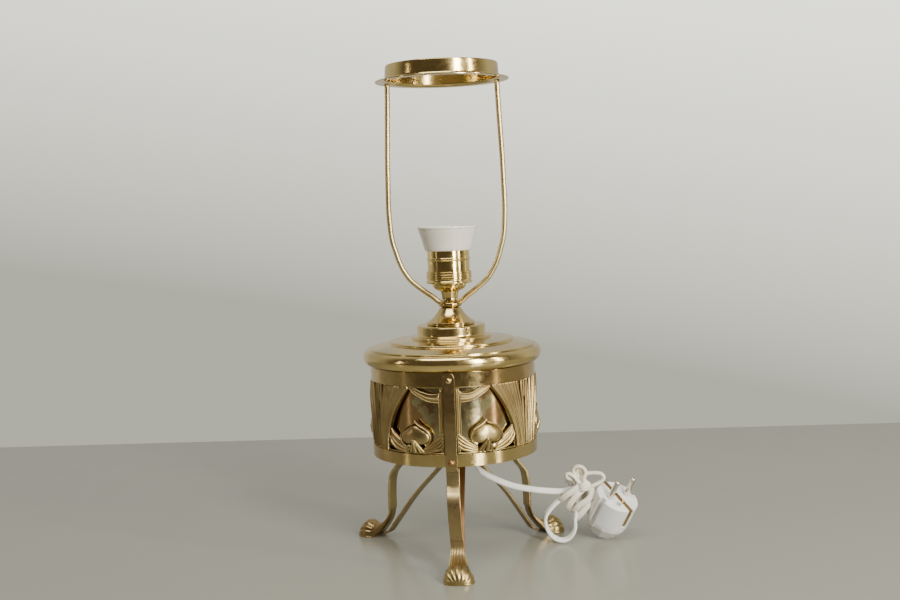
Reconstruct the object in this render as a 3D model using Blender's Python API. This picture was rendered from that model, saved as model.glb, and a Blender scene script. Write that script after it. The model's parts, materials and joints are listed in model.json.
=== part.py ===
"""Brass table lamp base with a pierced drum on three paw feet.

The drum holds a drop-in font. A harp with a spun shade ring and an E27 lampholder
stand on the font's lid, and a flat mains cord leaves through the base plate.
The file is in metres, +Z up. Sizes below are in millimetres, times MM.
The lamp's own axis is the empty LAMP_AXIS, and the floor is Z = 0.
"""
import math

import bmesh
import bpy
from mathutils import Matrix, Vector

MM = 0.001
GAP = 0.3  # between pieces that touch

# Feet, legs and braces
AZIMUTHS = {"front": -90, "right": 30, "left": 150}
FOOT_REAR, FOOT_REACH = 79.0, 103.5
LEG_WIDTH, LEG_THICKNESS = 10.8, 2.4
BRACE_WIDTH, BRACE_THICKNESS = 9.0, 2.0
LEG_RIVET_RADIUS_AT = 49.0
FRONT_LEAN, BRACES_ASIDE = 3.8, 4.6  # towards +X: the front leg at the floor, and all braces at their tops
LEG_TOP = 85.0

# Drum
DRUM_RADIUS, DRUM_WALL = 70.1, 1.0
LOWER_BAND = (86.1, 96.0)
UPPER_BAND = (150.6, 162.3)
PLATE_BOTTOM, PLATE_THICKNESS, PLATE_RADIUS = 86.1, 1.5, 68.7
STRAP_WIDTH, STRAP_THICKNESS, STRAP_BOTTOM = 9.6, 1.3, 82.7
RIVET_HEIGHT, SCREW_HEIGHT = 155.9, 89.6
SHANK_RADIUS, HOLE_RADIUS = 1.1, 1.5

# Frieze: windows are (degrees from a strap, share of the height down from the top)
PANEL_RADIUS, PANEL_WALL, PANEL_HALF_ANGLE = 69.8, 1.4, 59.7
PANEL_STEPS = 24
WINDOWS = {
    "swag_gap": [(8.5, 0.02), (20, 0.02), (14, 0.06), (8.5, 0.065)],
    "field": [
        (8.5, 0.26), (14, 0.24), (20, 0.18), (26, 0.1), (28.6, 0.08), (31.4, 0.15), (36, 0.3),
        (41.4, 0.49), (44.6, 0.63), (41, 0.7), (37.6, 0.74), (34.6, 0.62), (29, 0.55), (23.7, 0.48),
        (18, 0.56), (12.4, 0.65), (8.5, 0.7),
    ],
    "foot_gap": [(40, 0.965), (44.6, 0.92), (47, 0.84), (47.8, 0.965)],
    "corner_gap": [(8.5, 0.9), (12.5, 0.965), (8.5, 0.965)],
    "drop": [(52.6, 0.04), (54.2, 0.04), (54, 0.24), (53.3, 0.28)],
}
SLIT = [(59.2, 0.32), (60.8, 0.32), (61.2, 0.94), (58.8, 0.94)]

# Font and lid
TANK_RADIUS, TANK_WALL, TANK_BOTTOM = 65.2, 1.0, 90.0
LID_BORE = 5.5
BEAD_CENTRE, BEAD_RADII, BEAD_WALL = (70.9, 169.3), (4.8, 6.3), 1.2
BEAD_RADIUS = BEAD_CENTRE[0] + BEAD_RADII[0]
NIPPLE_RADIUS, NIPPLE_BORE = 5.0, 3.6

# Harp
HUB_RADIUS, HUB_BOTTOM, HUB_TOP = 9.8, 208.3, 215.0
ARM_DIAMETER = 4.0
ARM_ROUTE = [
    (11.2, 214.6), (14.3, 217.6), (22.0, 223.2), (32.0, 231.6), (38.0, 240.1), (41.9, 248.6),
    (44.5, 257.1), (46.8, 265.1), (48.1, 274.1), (49.1, 291.0), (48.9, 307.8), (48.4, 332.6),
    (47.4, 358.2), (46.4, 382.7), (46.0, 398.2),
]
FLANGE_RADIUS, FLANGE_BOTTOM, FLANGE_TOP = 56.1, 398.5, 399.4
COLLAR_TOP, COLLAR_RADII = 412.4, (46.6, 47.8)

# Cord and plug
CORD_DIAMETER = 5.4
BUSH_AT = (16.5, -8.0)
LEAD_ROUTE = [
    (16.5, -8.0, 88.0), (16.5, -8.0, 82.0), (16.7, -7.9, 77.0), (18.6, -7.3, 71.6),
    (23.2, -6.1, 66.4), (31.6, -3.6, 60.6), (47.8, 2.0, 52.3), (66.3, 10.5, 46.3),
    (80.0, 16.5, 43.2), (89.9, 20.4, 41.9),
]
LOOP_ROUTE = [
    (87.4, 17.0, 33.6), (82.0, 14.8, 29.2), (77.0, 12.5, 24.0), (75.6, 10.5, 18.4),
    (77.0, 8.0, 11.0), (81.2, 6.0, 5.4), (87.4, 4.6, 2.8), (93.6, 4.6, 3.6), (98.4, 5.6, 8.0),
    (100.6, 6.8, 13.4), (100.8, 8.2, 18.6),
]
TAIL_ROUTE = [
    (111.4, 41.6, 36.6), (107.6, 45.6, 40.2), (101.6, 47.8, 44.0), (96.6, 45.4, 46.6),
    (96.2, 38.2, 47.6), (98.0, 30.3, 47.8),
]
HANK_ENDS, HANK_RADII = ((97.6, 12.0), (106, 49.0)), (8.6, 14.4)
HANK_MIDDLE_Y, HANK_THICKNESS = 19.5, 16.4
PLUG_RADIUS, PLUG_DEPTH, PLUG_REAR_RADIUS = 18.7, 38.0, 12.5
PLUG_PIN_DIRECTION = Vector((0.35, -0.41, 0.84)).normalized()
PLUG_ROW_DIRECTION = Vector((0.77, 0.64, 0.0))
PLUG_AT_XY = (138.3, 10.0)
PIN_LENGTH, PIN_RADIUS, PIN_SPACING = 19.0, 2.4, 19.0
BOOT_START, BOOT_LENGTH, BOOT_DEPTH = 24.3, 9.0, 24.0

BIG_SIDES, MEDIUM_SIDES, SMALL_SIDES = 36, 24, 16


def material(name, color, roughness, metallic):
    made = bpy.data.materials.new(name)
    made.use_nodes = True
    shader = made.node_tree.nodes["Principled BSDF"]
    shader.inputs["Base Color"].default_value = (*color, 1.0)
    shader.inputs["Roughness"].default_value = roughness
    shader.inputs["Metallic"].default_value = metallic
    return made


def place(name, data, surface, parent, location=(0, 0, 0), rotation=(0, 0, 0)):
    """A new object of this data in the parent's space, with its location in millimetres."""
    made = bpy.data.objects.new(name, data)
    bpy.context.scene.collection.objects.link(made)
    made.data.materials.append(surface)
    made.parent = parent
    made.location = Vector(location) * MM
    made.rotation_euler = rotation
    return made


def empty(name, parent=None, matrix=Matrix()):
    made = bpy.data.objects.new(name, None)
    bpy.context.scene.collection.objects.link(made)
    made.parent = parent
    made.matrix_local = matrix
    return made


def arc(centre, radii, start, end, steps):
    """Points of an ellipse's arc from start to end, in degrees."""
    angles = [math.radians(start + (end - start) * i / steps) for i in range(steps + 1)]
    return [(centre[0] + radii[0] * math.cos(a), centre[1] + radii[1] * math.sin(a)) for a in angles]


def smooth(points, parts):
    """Catmull-Rom points through the given ones, with this many parts in each span."""
    points = [Vector(p) for p in points]
    ends = [2 * points[0] - points[1]] + points + [2 * points[-1] - points[-2]]
    found = []
    for i in range(1, len(ends) - 2):
        a, b, c, d = ends[i - 1:i + 3]
        for j in range(parts):
            t = j / parts
            found.append(
                0.5 * (2 * b + (c - a) * t + (2 * a - 5 * b + 4 * c - d) * t**2
                       + (3 * b - a - 3 * c + d) * t**3)
            )
    return found + [points[-1]]


def turned(name, outline, surface, parent, sides=BIG_SIDES, location=(0, 0, 0), rotation=(0, 0, 0)):
    """A turned piece: (radius, height) points that run down the outside, then up the inside."""
    mesh = bpy.data.meshes.new(name)
    points = [(r * MM, 0, z * MM) for r, z in outline]
    edges = [(i, i + 1) for i in range(len(points) - 1)]
    if outline[0][0] > 0:
        edges.append((len(points) - 1, 0))
    mesh.from_pydata(points, edges, [])
    made = place(name, mesh, surface, parent, location, rotation)
    screw = made.modifiers.new("Turn", "SCREW")
    screw.steps = screw.render_steps = sides
    screw.use_merge_vertices = True
    screw.merge_threshold = 0.00001
    screw.use_smooth_shade = True
    return made


def prism(name, outline, surface, parent, depth, azimuth=0.0, location=(0, 0, 0)):
    """A flat piece: (x, z) points, counter-clockwise seen from -Y, centred across its depth."""
    mesh = bpy.data.meshes.new(name)
    shape = bmesh.new()
    near = [shape.verts.new((x * MM, -depth / 2 * MM, z * MM)) for x, z in outline]
    face = shape.faces.new(near)
    extruded = bmesh.ops.extrude_face_region(shape, geom=[face])
    moved = [v for v in extruded["geom"] if isinstance(v, bmesh.types.BMVert)]
    bmesh.ops.translate(shape, verts=moved, vec=(0, depth * MM, 0))
    bmesh.ops.recalc_face_normals(shape, faces=shape.faces)
    shape.to_mesh(mesh)
    shape.free()
    return place(name, mesh, surface, parent, location, (0, 0, math.radians(azimuth)))


def strip_outline(path, thickness):
    """The outline of a flat strip that follows a path of (x, z) points."""
    path = [Vector(p) for p in path]
    left, right = [], []
    for i, point in enumerate(path):
        along = (path[min(i + 1, len(path) - 1)] - path[max(i - 1, 0)]).normalized()
        across = Vector((-along.y, along.x)) * thickness / 2
        left.append(point + across)
        right.append(point - across)
    return right + left[::-1]


def tube(name, points, diameter, surface, parent, resolution=2):
    curve = bpy.data.curves.new(name, "CURVE")
    curve.dimensions = "3D"
    curve.bevel_depth = diameter / 2 * MM
    curve.bevel_resolution = resolution
    curve.use_fill_caps = True
    spline = curve.splines.new("POLY")
    spline.points.add(len(points) - 1)
    for target, point in zip(spline.points, points):
        target.co = (*(Vector(point) * MM), 1)
    return place(name, curve, surface, parent)


def hide(cutter):
    cutter.hide_render = True
    cutter.display_type = "WIRE"
    return cutter


def boolean(target, other, operation="DIFFERENCE"):
    made = target.modifiers.new(other.name, "BOOLEAN")
    made.operation = operation
    made.object = hide(other)


def radial_pin(name, radius, start, end, height, azimuth, surface, parent, sides=12):
    """A plain pin that points outwards, from one distance from the axis to another."""
    outline = [(0, end), (radius, end), (radius, start), (0, start)]
    return turned(
        name, outline, surface, parent, sides, (0, 0, height), (0, math.pi / 2, math.radians(azimuth))
    )


def upright_pin(name, radius, bottom, top, x, y, surface, parent, sides=16):
    outline = [(0, top), (radius, top), (radius, bottom), (0, bottom)]
    return turned(name, outline, surface, parent, sides, (x, y, 0))


def lean(made, side, azimuth, aside=0.0):
    """The front leg leans sideways towards the floor, and the braces' tops stand aside, both towards +X."""
    bow = FRONT_LEAN if side == "front" else 0.0
    if not bow and not aside:
        return
    turn = math.radians(azimuth)
    shape = bmesh.new()
    shape.from_mesh(made.data)
    bmesh.ops.triangulate(shape, faces=shape.faces)
    for vert in shape.verts:
        share = vert.co.z / MM / LEG_TOP
        vert.co.x += aside * share * math.cos(turn) * MM
        vert.co.y += (bow * max(0.0, 1 - share) ** 2 - aside * share * math.sin(turn)) * MM
    shape.to_mesh(made.data)
    shape.free()


def foot(side, azimuth, brass, axis):
    """A paw: domed sections from the ankle to the toes, on a flat sole."""
    sections = [  # distance from the axis, half width, height
        (FOOT_REAR, 6.4, 12.6), (83.0, 8.0, 11.4), (87.0, 9.6, 11.6), (91.0, 11.2, 12.8),
        (95.0, 11.8, 13.2), (99.0, 10.9, 11.4), (102.0, 8.4, 7.8), (FOOT_REACH, 5.2, 3.6),
    ]
    dome = [(1.0, 0.0), (1.0, 0.32), (0.84, 0.72), (0.46, 0.95), (0.0, 1.0)]
    ring = dome + [(-x, z) for x, z in dome[-2::-1]]
    shape = bmesh.new()
    loops = [
        [shape.verts.new((r * MM, half * x * MM, height * z * MM)) for x, z in ring]
        for r, half, height in sections
    ]
    for first, second in zip(loops, loops[1:]):
        for i in range(len(ring)):
            j = (i + 1) % len(ring)
            shape.faces.new((first[i], first[j], second[j], second[i]))
    shape.faces.new(loops[0])
    shape.faces.new(loops[-1][::-1])
    bmesh.ops.recalc_face_normals(shape, faces=shape.faces)
    mesh = bpy.data.meshes.new(f"foot_{side}")
    shape.to_mesh(mesh)
    shape.free()
    lean(place(f"foot_{side}", mesh, brass, axis, rotation=(0, 0, math.radians(azimuth))), side, azimuth)


def leg(side, azimuth, brass, axis):
    bend = [
        (44.0, 84.4), (51.4, 84.4), (55.0, 83.4), (56.8, 80.6), (57.4, 75.0), (58.8, 69.6),
        (61.6, 65.4), (65.0, 61.4), (67.3, 56.8), (68.6, 49.7), (69.3, 39.4), (69.3, 29.0),
        (70.0, 23.4), (71.8, 18.6), (74.8, 14.8), (77.8, 12.3),
    ]
    made = prism(
        f"leg_{side}", strip_outline(bend, LEG_THICKNESS), brass, axis, LEG_WIDTH, azimuth
    )
    lean(made, side, azimuth)
    turn = math.radians(azimuth)
    x, y = LEG_RIVET_RADIUS_AT * math.cos(turn), LEG_RIVET_RADIUS_AT * math.sin(turn)
    boolean(made, upright_pin(f"leg_hole_{side}", 2.0, 82, 88, x, y, brass, axis))
    head = arc((0, 82.9), (3.6, 1.7), 0, -90, 4)
    shank = [(0, 88.6), (1.6, 88.6), (1.6, 82.9)]
    turned(f"leg_rivet_{side}", shank + head[:-1] + [(0, head[-1][1])], brass, axis, 16, (x, y, 0))
    return x, y


def brace(side, azimuth, brass, axis):
    path = [
        (9.0, 83.6), (21.0, 68.6), (44.4, 43.6), (58.0, 25.8), (70.4, 8.8), (73.2, 5.6), (77.2, 3.8)
    ]
    outline = strip_outline(path, BRACE_THICKNESS)
    lean(prism(f"brace_{side}", outline, brass, axis, BRACE_WIDTH, azimuth), side, azimuth, BRACES_ASIDE)


def strap(side, azimuth, brass, axis):
    """An upright strap with a round top, a domed rivet near it and a screw at the foot."""
    half = STRAP_WIDTH / 2
    top = arc((0, UPPER_BAND[1] - half), (half, half), 0, 180, 10)
    outline = [(-half, STRAP_BOTTOM), (half, STRAP_BOTTOM)] + top
    inner = DRUM_RADIUS + GAP
    turn = math.radians(azimuth)
    middle = inner + STRAP_THICKNESS / 2
    location = (middle * math.cos(turn), middle * math.sin(turn), 0)
    made = prism(f"strap_{side}", outline, brass, axis, STRAP_THICKNESS, azimuth + 90, location)
    outer = inner + STRAP_THICKNESS
    for kind, height in (("rivet", RIVET_HEIGHT), ("screw", SCREW_HEIGHT)):
        hole = radial_pin(
            f"strap_{kind}_hole_{side}", HOLE_RADIUS, 60, 80, height, azimuth, brass, axis
        )
        boolean(made, hole)
        head = arc((0, outer + GAP), (2.4, 1.5), 90, 0, 4)
        shank = [(SHANK_RADIUS, outer + GAP), (SHANK_RADIUS, 68.1), (0, 68.1)]
        turned(
            f"strap_{kind}_{side}", [(0, head[0][1])] + head[1:] + shank, brass, axis, 12,
            (0, 0, height), (0, math.pi / 2, turn),
        )


def band(name, span, brass, axis, kind):
    low, high = span
    inner = DRUM_RADIUS - DRUM_WALL
    outline = [(DRUM_RADIUS, high), (DRUM_RADIUS, low), (inner, low), (inner, high)]
    made = turned(name, outline, brass, axis)
    for side in AZIMUTHS:
        boolean(made, bpy.data.objects[f"strap_{kind}_hole_{side}"])


def base_plate(rivets, brass, axis):
    top = PLATE_BOTTOM + PLATE_THICKNESS
    outline = [(0, top), (PLATE_RADIUS, top), (PLATE_RADIUS, PLATE_BOTTOM), (0, PLATE_BOTTOM)]
    made = turned("base_plate", outline, brass, axis)
    for i, (x, y) in enumerate(rivets):
        boolean(made, upright_pin(f"plate_hole_{i + 1}", 2.0, 80, 92, x, y, brass, axis))
    boolean(made, upright_pin("bush_hole", 4.9, 80, 92, *BUSH_AT, brass, axis, SMALL_SIDES))


def panel_point(angle, share, radius):
    low, high = LOWER_BAND[1] + GAP, UPPER_BAND[0] - GAP
    turn = math.radians(angle)
    return Vector((radius * math.cos(turn), radius * math.sin(turn), high + (low - high) * share)) * MM


def frieze_panel(name, azimuth, brass, axis):
    """A third of the pierced drum wall: a curved sheet, cut by its windows and their mirror images."""
    angles = [-PANEL_HALF_ANGLE + 2 * PANEL_HALF_ANGLE * i / PANEL_STEPS for i in range(PANEL_STEPS + 1)]
    outer, inner = PANEL_RADIUS, PANEL_RADIUS - PANEL_WALL
    shape = bmesh.new()
    rings = [
        [shape.verts.new(panel_point(a, share, r)) for share, r in ((0, outer), (1, outer), (1, inner), (0, inner))]
        for a in angles
    ]
    for first, second in zip(rings, rings[1:]):
        for i in range(4):
            j = (i + 1) % 4
            shape.faces.new((first[i], first[j], second[j], second[i]))
    shape.faces.new(rings[0])
    shape.faces.new(rings[-1][::-1])
    bmesh.ops.recalc_face_normals(shape, faces=shape.faces)
    mesh = bpy.data.meshes.new(name)
    shape.to_mesh(mesh)
    shape.free()
    rotation = (0, 0, math.radians(azimuth))
    made = place(name, mesh, brass, axis, rotation=rotation)
    cutters = bmesh.new()
    windows = list(WINDOWS.values())
    windows += [[(120 - angle, share) for angle, share in window] for window in windows]
    for window in windows + [SLIT]:
        near = [cutters.verts.new(panel_point(a - 60, share, inner - 4)) for a, share in window]
        far = [cutters.verts.new(panel_point(a - 60, share, outer + 3)) for a, share in window]
        cutters.faces.new(near)
        cutters.faces.new(far[::-1])
        for i in range(len(near)):
            j = (i + 1) % len(near)
            cutters.faces.new((near[i], far[i], far[j], near[j]))
    bmesh.ops.recalc_face_normals(cutters, faces=cutters.faces)
    cutter_mesh = bpy.data.meshes.new(f"{name}_windows")
    cutters.to_mesh(cutter_mesh)
    cutters.free()
    boolean(made, place(f"{name}_windows", cutter_mesh, brass, axis, rotation=rotation))


def stand(brass, axis):
    rivets = []
    for side, azimuth in AZIMUTHS.items():
        foot(side, azimuth, brass, axis)
        rivets.append(leg(side, azimuth, brass, axis))
        brace(side, azimuth, brass, axis)
        strap(side, azimuth, brass, axis)
    band("upper_band", UPPER_BAND, brass, axis, "rivet")
    band("lower_band", LOWER_BAND, brass, axis, "screw")
    base_plate(rivets, brass, axis)
    for name, azimuth in (("frieze_right", -30), ("frieze_back", 90), ("frieze_left", 210)):
        frieze_panel(name, azimuth, brass, axis)
    bush = [
        (4.6, 88.9), (4.6, 85.6), (7.0, 85.6), (7.0, 84.0), (5.6, 82.8), (4.2, 78.0), (3.3, 78.0),
        (3.3, 88.9),
    ]
    turned("cord_bush", bush, brass, axis, SMALL_SIDES, (*BUSH_AT, 0))


def font(brass, axis):
    """The vessel that drops into the drum, its lid, and the cap and nipple on it."""
    floor = TANK_BOTTOM
    inner = TANK_RADIUS - TANK_WALL
    tank = [(TANK_RADIUS, 175.4)] + arc((TANK_RADIUS - 5, floor + 5), (5, 5), 0, -90, 3)
    tank += [(7, floor), (7, floor + 1)]
    tank += arc((inner - 4, floor + 5), (4, 4), -90, 0, 3) + [(inner, 175.6)]
    turned("tank_shell", tank, brass, axis)
    lid = [
        (LID_BORE, 194.1), (28.2, 194.1), (29.1, 193.2), (29.1, 186.4), (30.2, 185.0),
        (34.2, 184.2), (34.4, 183.2), (52.9, 181.0), (53.1, 179.8), (70.0, 175.4),
    ]
    lid += arc(BEAD_CENTRE, BEAD_RADII, 80, -84, 7)
    lid += [(69.9, 162.7), (67.6, 162.7), (67.6, 158.4), (66.6, 158.4), (66.6, 164.2)]
    hollow = (BEAD_RADII[0] - BEAD_WALL, BEAD_RADII[1] - BEAD_WALL)
    lid += arc(BEAD_CENTRE, hollow, -80, 80, 4)
    lid += [
        (52.6, 178.6), (33.9, 182.3), (27.9, 184.4), (27.9, 192.9), (LID_BORE, 192.9),
    ]
    turned("lid", lid, brass, axis)
    cap = [
        (LID_BORE, 208.0), (9.6, 208.0), (10.6, 207.2), (10.6, 206.0), (11.2, 204.0), (12.8, 201.6),
        (15.8, 199.2), (18.8, 197.4), (20.4, 196.4), (20.4, 194.4), (19.4, 194.4), (19.4, 195.8),
        (14.8, 198.3), (11.2, 201.6), (9.6, 204.8), (9.4, 206.8), (LID_BORE, 206.8),
    ]
    turned("vase_cap", cap, brass, axis, MEDIUM_SIDES)
    pipe = [(NIPPLE_RADIUS, 227.2), (NIPPLE_RADIUS, 180.0), (NIPPLE_BORE, 180.0), (NIPPLE_BORE, 227.2)]
    turned("nipple", pipe, brass, axis, SMALL_SIDES)
    for name, low, high, radius in (("nipple_nut", 188.0, 192.6, 8.7), ("holder_nut", 224.2, 226.8, 7.4)):
        made = turned(name, [(0, high), (radius, high), (radius, low), (0, low)], brass, axis, 6)
        bore = upright_pin(f"{name}_bore", NIPPLE_RADIUS + GAP, low - 1, high + 1, 0, 0, brass, axis)
        boolean(made, bore)


def harp(brass, axis):
    bore = NIPPLE_RADIUS + GAP
    hub = [
        (bore, HUB_TOP), (HUB_RADIUS - 0.6, HUB_TOP), (HUB_RADIUS, HUB_TOP - 0.8),
        (HUB_RADIUS, HUB_BOTTOM + 0.8), (HUB_RADIUS - 0.6, HUB_BOTTOM), (bore, HUB_BOTTOM),
    ]
    turned("harp_hub", hub, brass, axis, MEDIUM_SIDES)
    for name, side in (("harp_arm_right", 1), ("harp_arm_left", -1)):
        route = [(side * point.x, 0, point.y) for point in smooth(ARM_ROUTE, 2)]
        tube(name, route, ARM_DIAMETER, brass, axis)
    top, bottom = COLLAR_RADII
    ring = [
        (top, COLLAR_TOP), (bottom, 402.0), (48.6, 400.2), (50.6, FLANGE_TOP),
        (FLANGE_RADIUS, FLANGE_TOP), (FLANGE_RADIUS, FLANGE_BOTTOM), (50.0, FLANGE_BOTTOM),
        (47.4, FLANGE_BOTTOM + 0.8), (46.8, 402.0), (top - 0.9, COLLAR_TOP),
    ]
    turned("shade_ring", ring, brass, axis)


def lampholder(brass, porcelain, steel, axis):
    bore = NIPPLE_RADIUS + GAP
    neck = [(bore, 222.3), (7.9, 222.3), (7.6, 220.8), (6.9, 218.4), (6.7, 215.3), (bore, 215.3)]
    turned("holder_neck", neck, brass, axis, SMALL_SIDES)
    cup = [
        (14.6, 229.0), (14.5, 227.6), (13.6, 225.6), (11.5, 223.7), (8.6, 222.6), (bore, 222.6),
        (bore, 223.7), (8.2, 223.8), (11.0, 224.8), (12.8, 226.6), (13.6, 229.0),
    ]
    turned("holder_cup", cup, brass, axis, MEDIUM_SIDES)
    ring = [
        (18.9, 239.3), (19.2, 239.0), (19.2, 229.6), (18.9, 229.3), (10.0, 229.3), (10.0, 230.2),
        (17.5, 230.2), (17.5, 239.3),
    ]
    turned("holder_ring", ring, brass, axis, MEDIUM_SIDES)
    shell = [
        (17.1, 262.0), (17.1, 250.9), (17.75, 250.3), (17.75, 249.3), (17.1, 248.7), (17.1, 230.6),
        (16.3, 230.6), (16.3, 262.0),
    ]
    made = turned("holder_shell", shell, brass, axis, MEDIUM_SIDES)
    boolean(made, radial_pin("grub_hole", 1.5, 14, 20, 241.6, -20, brass, axis))
    radial_pin("grub_screw", 1.2, 16.2, 17.5, 241.6, -20, steel, axis, 10)
    insert = [
        (15.6, 258.0), (15.6, 230.6), (3.6, 230.6), (3.6, 236.0), (14.1, 236.0), (14.1, 258.0),
    ]
    turned("holder_insert", insert, porcelain, axis, MEDIUM_SIDES)
    thread = [
        (13.8, 257.4), (13.8, 236.4), (10.0, 236.4), (10.0, 237.0), (13.2, 237.0), (13.2, 257.4),
    ]
    turned("thread_shell", thread, brass, axis, MEDIUM_SIDES)
    contact = [(0, 239.6), (2.2, 239.6), (3.2, 238.4), (3.2, 231.0), (0, 231.0)]
    turned("centre_contact", contact, brass, axis, 12)
    shade = [
        (25.4, 277.3), (25.3, 276.6), (23.9, 273.2), (22.1, 267.6), (20.7, 262.0), (19.8, 257.4),
        (19.4, 256.8), (17.5, 256.8), (17.5, 264.6), (19.2, 266.6), (21.0, 270.0), (23.6, 276.0),
        (24.4, 277.3),
    ]
    turned("porcelain_ring", shade, porcelain, axis, MEDIUM_SIDES)


def cord(white, axis):
    tube("cord_lead", smooth(LEAD_ROUTE, 2), CORD_DIAMETER, white, axis)
    tube("cord_loop", smooth(LOOP_ROUTE, 2), CORD_DIAMETER, white, axis)
    tube("cord_tail", smooth(TAIL_ROUTE, 2), CORD_DIAMETER, white, axis)
    inside = [(0, 0, 230.2), (0, 0, 205), (0, 0, 180), (2, 1, 160), (6, 3, 132), (4, 2, 108), (1, 0, 91)]
    tube("inner_lead", smooth(inside, 2), CORD_DIAMETER, white, axis)
    low, high = (Vector(end) for end in HANK_ENDS)
    tilt = math.degrees(math.atan2(high.y - low.y, high.x - low.x))
    foot_radius, head_radius = HANK_RADII
    outline = arc(low, (foot_radius, foot_radius), tilt + 90, tilt + 270, 10)
    outline += arc(high, (head_radius, head_radius), tilt - 90, tilt + 90, 10)
    hank = prism("cord_hank", outline, white, axis, HANK_THICKNESS, location=(0, HANK_MIDDLE_Y, 0))
    round_edges = hank.modifiers.new("Round", "BEVEL")
    round_edges.width = 3 * MM
    round_edges.segments = 2


def plug(white, nickel, brass, axis):
    """A right-angle plug on its back: X along the row of pins, Y the cord's way out, Z the pins' way."""
    z = PLUG_PIN_DIRECTION
    x = (PLUG_ROW_DIRECTION - PLUG_ROW_DIRECTION.dot(z) * z).normalized()
    y = z.cross(x)
    height = PLUG_DEPTH * z.z + PLUG_REAR_RADIUS * y.z + 0.1
    turn = Matrix((x, y, z)).transposed().to_4x4()
    face = empty("PLUG_FACE", axis, Matrix.Translation(Vector((*PLUG_AT_XY, height)) * MM) @ turn)
    body = [
        (0, 0), (PLUG_RADIUS - 0.8, 0), (PLUG_RADIUS, -0.8), (PLUG_RADIUS, -21.0),
        (PLUG_REAR_RADIUS + 3, -35.0), (PLUG_REAR_RADIUS, -PLUG_DEPTH), (0, -PLUG_DEPTH),
    ]
    made = turned("plug_body", body, white, face, MEDIUM_SIDES)
    boss = [(10, -33), (22, -31), (24, -29), (24, -19), (22, -17), (10, -15)]
    boolean(made, prism("plug_boss", boss, white, face, 12, 90), "UNION")
    boot = [
        (2.9, BOOT_START + BOOT_LENGTH), (4.0, BOOT_START + BOOT_LENGTH), (6.0, BOOT_START),
        (2.9, BOOT_START),
    ]
    turned("plug_boot", boot, white, face, SMALL_SIDES, (0, 0, -BOOT_DEPTH), (-math.pi / 2, 0, 0))
    pin = [(0, PIN_LENGTH), (1.6, PIN_LENGTH), (PIN_RADIUS, PIN_LENGTH - 1.2), (PIN_RADIUS, GAP), (0, GAP)]
    turned("plug_pin_near", pin, nickel, face, 16, (-PIN_SPACING / 2, 0, 0))
    turned("plug_pin_far", pin, nickel, face, 16, (PIN_SPACING / 2, 0, 0))
    rim = PLUG_RADIUS + GAP + 0.4
    strip = [(rim, -6), (rim, 0.7), (-rim, 0.7), (-rim, -18)]
    prism("plug_earth_strip", strip_outline(strip, 0.7), brass, face, 4.2, 90)


def main():
    for old in list(bpy.data.objects):
        bpy.data.objects.remove(old)
    brass = material("aged_brass", (0.42, 0.29, 0.12), 0.34, 1.0)
    porcelain = material("porcelain", (0.72, 0.69, 0.62), 0.18, 0.0)
    steel = material("dark_steel", (0.06, 0.055, 0.05), 0.5, 1.0)
    cord_white = material("cord_white", (0.7, 0.68, 0.62), 0.45, 0.0)
    plug_white = material("plug_white", (0.74, 0.74, 0.72), 0.35, 0.0)
    nickel = material("nickel", (0.6, 0.58, 0.54), 0.25, 1.0)
    axis_y = (FOOT_REACH - BEAD_RADIUS) / 2
    axis = empty("LAMP_AXIS", matrix=Matrix.Translation((0, axis_y * MM, 0)))
    stand(brass, axis)
    font(brass, axis)
    harp(brass, axis)
    lampholder(brass, porcelain, steel, axis)
    cord(cord_white, axis)
    plug(plug_white, nickel, brass, axis)


main()
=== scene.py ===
"""Looks of the brass table lamp base: polished and aged brass, pierced relief frieze, paw feet,
glazed porcelain, and the flat mains cord with its plug. Sizes are in millimetres, times MM,
measured from the lamp's own axis and the floor."""
import json
import math

import bmesh
import bpy
import numpy as np
from mathutils import Matrix, Vector


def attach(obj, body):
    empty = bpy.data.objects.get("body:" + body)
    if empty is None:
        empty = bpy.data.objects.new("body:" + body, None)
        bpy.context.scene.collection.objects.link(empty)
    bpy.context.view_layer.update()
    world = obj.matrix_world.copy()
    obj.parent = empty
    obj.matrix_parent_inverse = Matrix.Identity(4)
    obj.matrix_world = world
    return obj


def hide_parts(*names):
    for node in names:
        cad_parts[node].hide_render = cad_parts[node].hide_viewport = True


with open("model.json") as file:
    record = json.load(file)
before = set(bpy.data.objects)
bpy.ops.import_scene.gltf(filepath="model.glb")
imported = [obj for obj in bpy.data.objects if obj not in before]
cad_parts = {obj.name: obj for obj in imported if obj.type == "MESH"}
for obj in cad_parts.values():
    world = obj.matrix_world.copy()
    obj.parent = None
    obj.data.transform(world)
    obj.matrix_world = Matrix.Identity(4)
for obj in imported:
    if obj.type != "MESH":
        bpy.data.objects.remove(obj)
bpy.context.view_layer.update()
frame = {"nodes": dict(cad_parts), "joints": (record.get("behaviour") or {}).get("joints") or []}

MM = 0.001
AXIS = Vector(next(j["pos_m"] for j in frame["joints"] if j["name"] == "harp_swivel"))
AXIS.z = 0.0
AZIMUTHS = {"front": -90, "right": 30, "left": 150}
ROUND = 160  # segments of a turned piece

# The photograph's viewing angle
VIEW_DISTANCE, VIEW_HEIGHT = 987, 295
VIEW_TURN, VIEW_PITCH, VIEW_ROLL = math.radians(3.0), math.radians(4.66), math.radians(2.17)
LENS = 46.6

# The frieze, in degrees from a strap and shares of its height down from the top
FRIEZE_RADIUS, FRIEZE_TOP, FRIEZE_BOTTOM = 68.5, 150.5, 96.1

# The front leg leans sideways towards the floor, and the braces' tops stand aside, both towards +X
FRONT_LEAN, BRACES_ASIDE, LEG_TOP = 3.8, 4.6, 85.0

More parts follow.
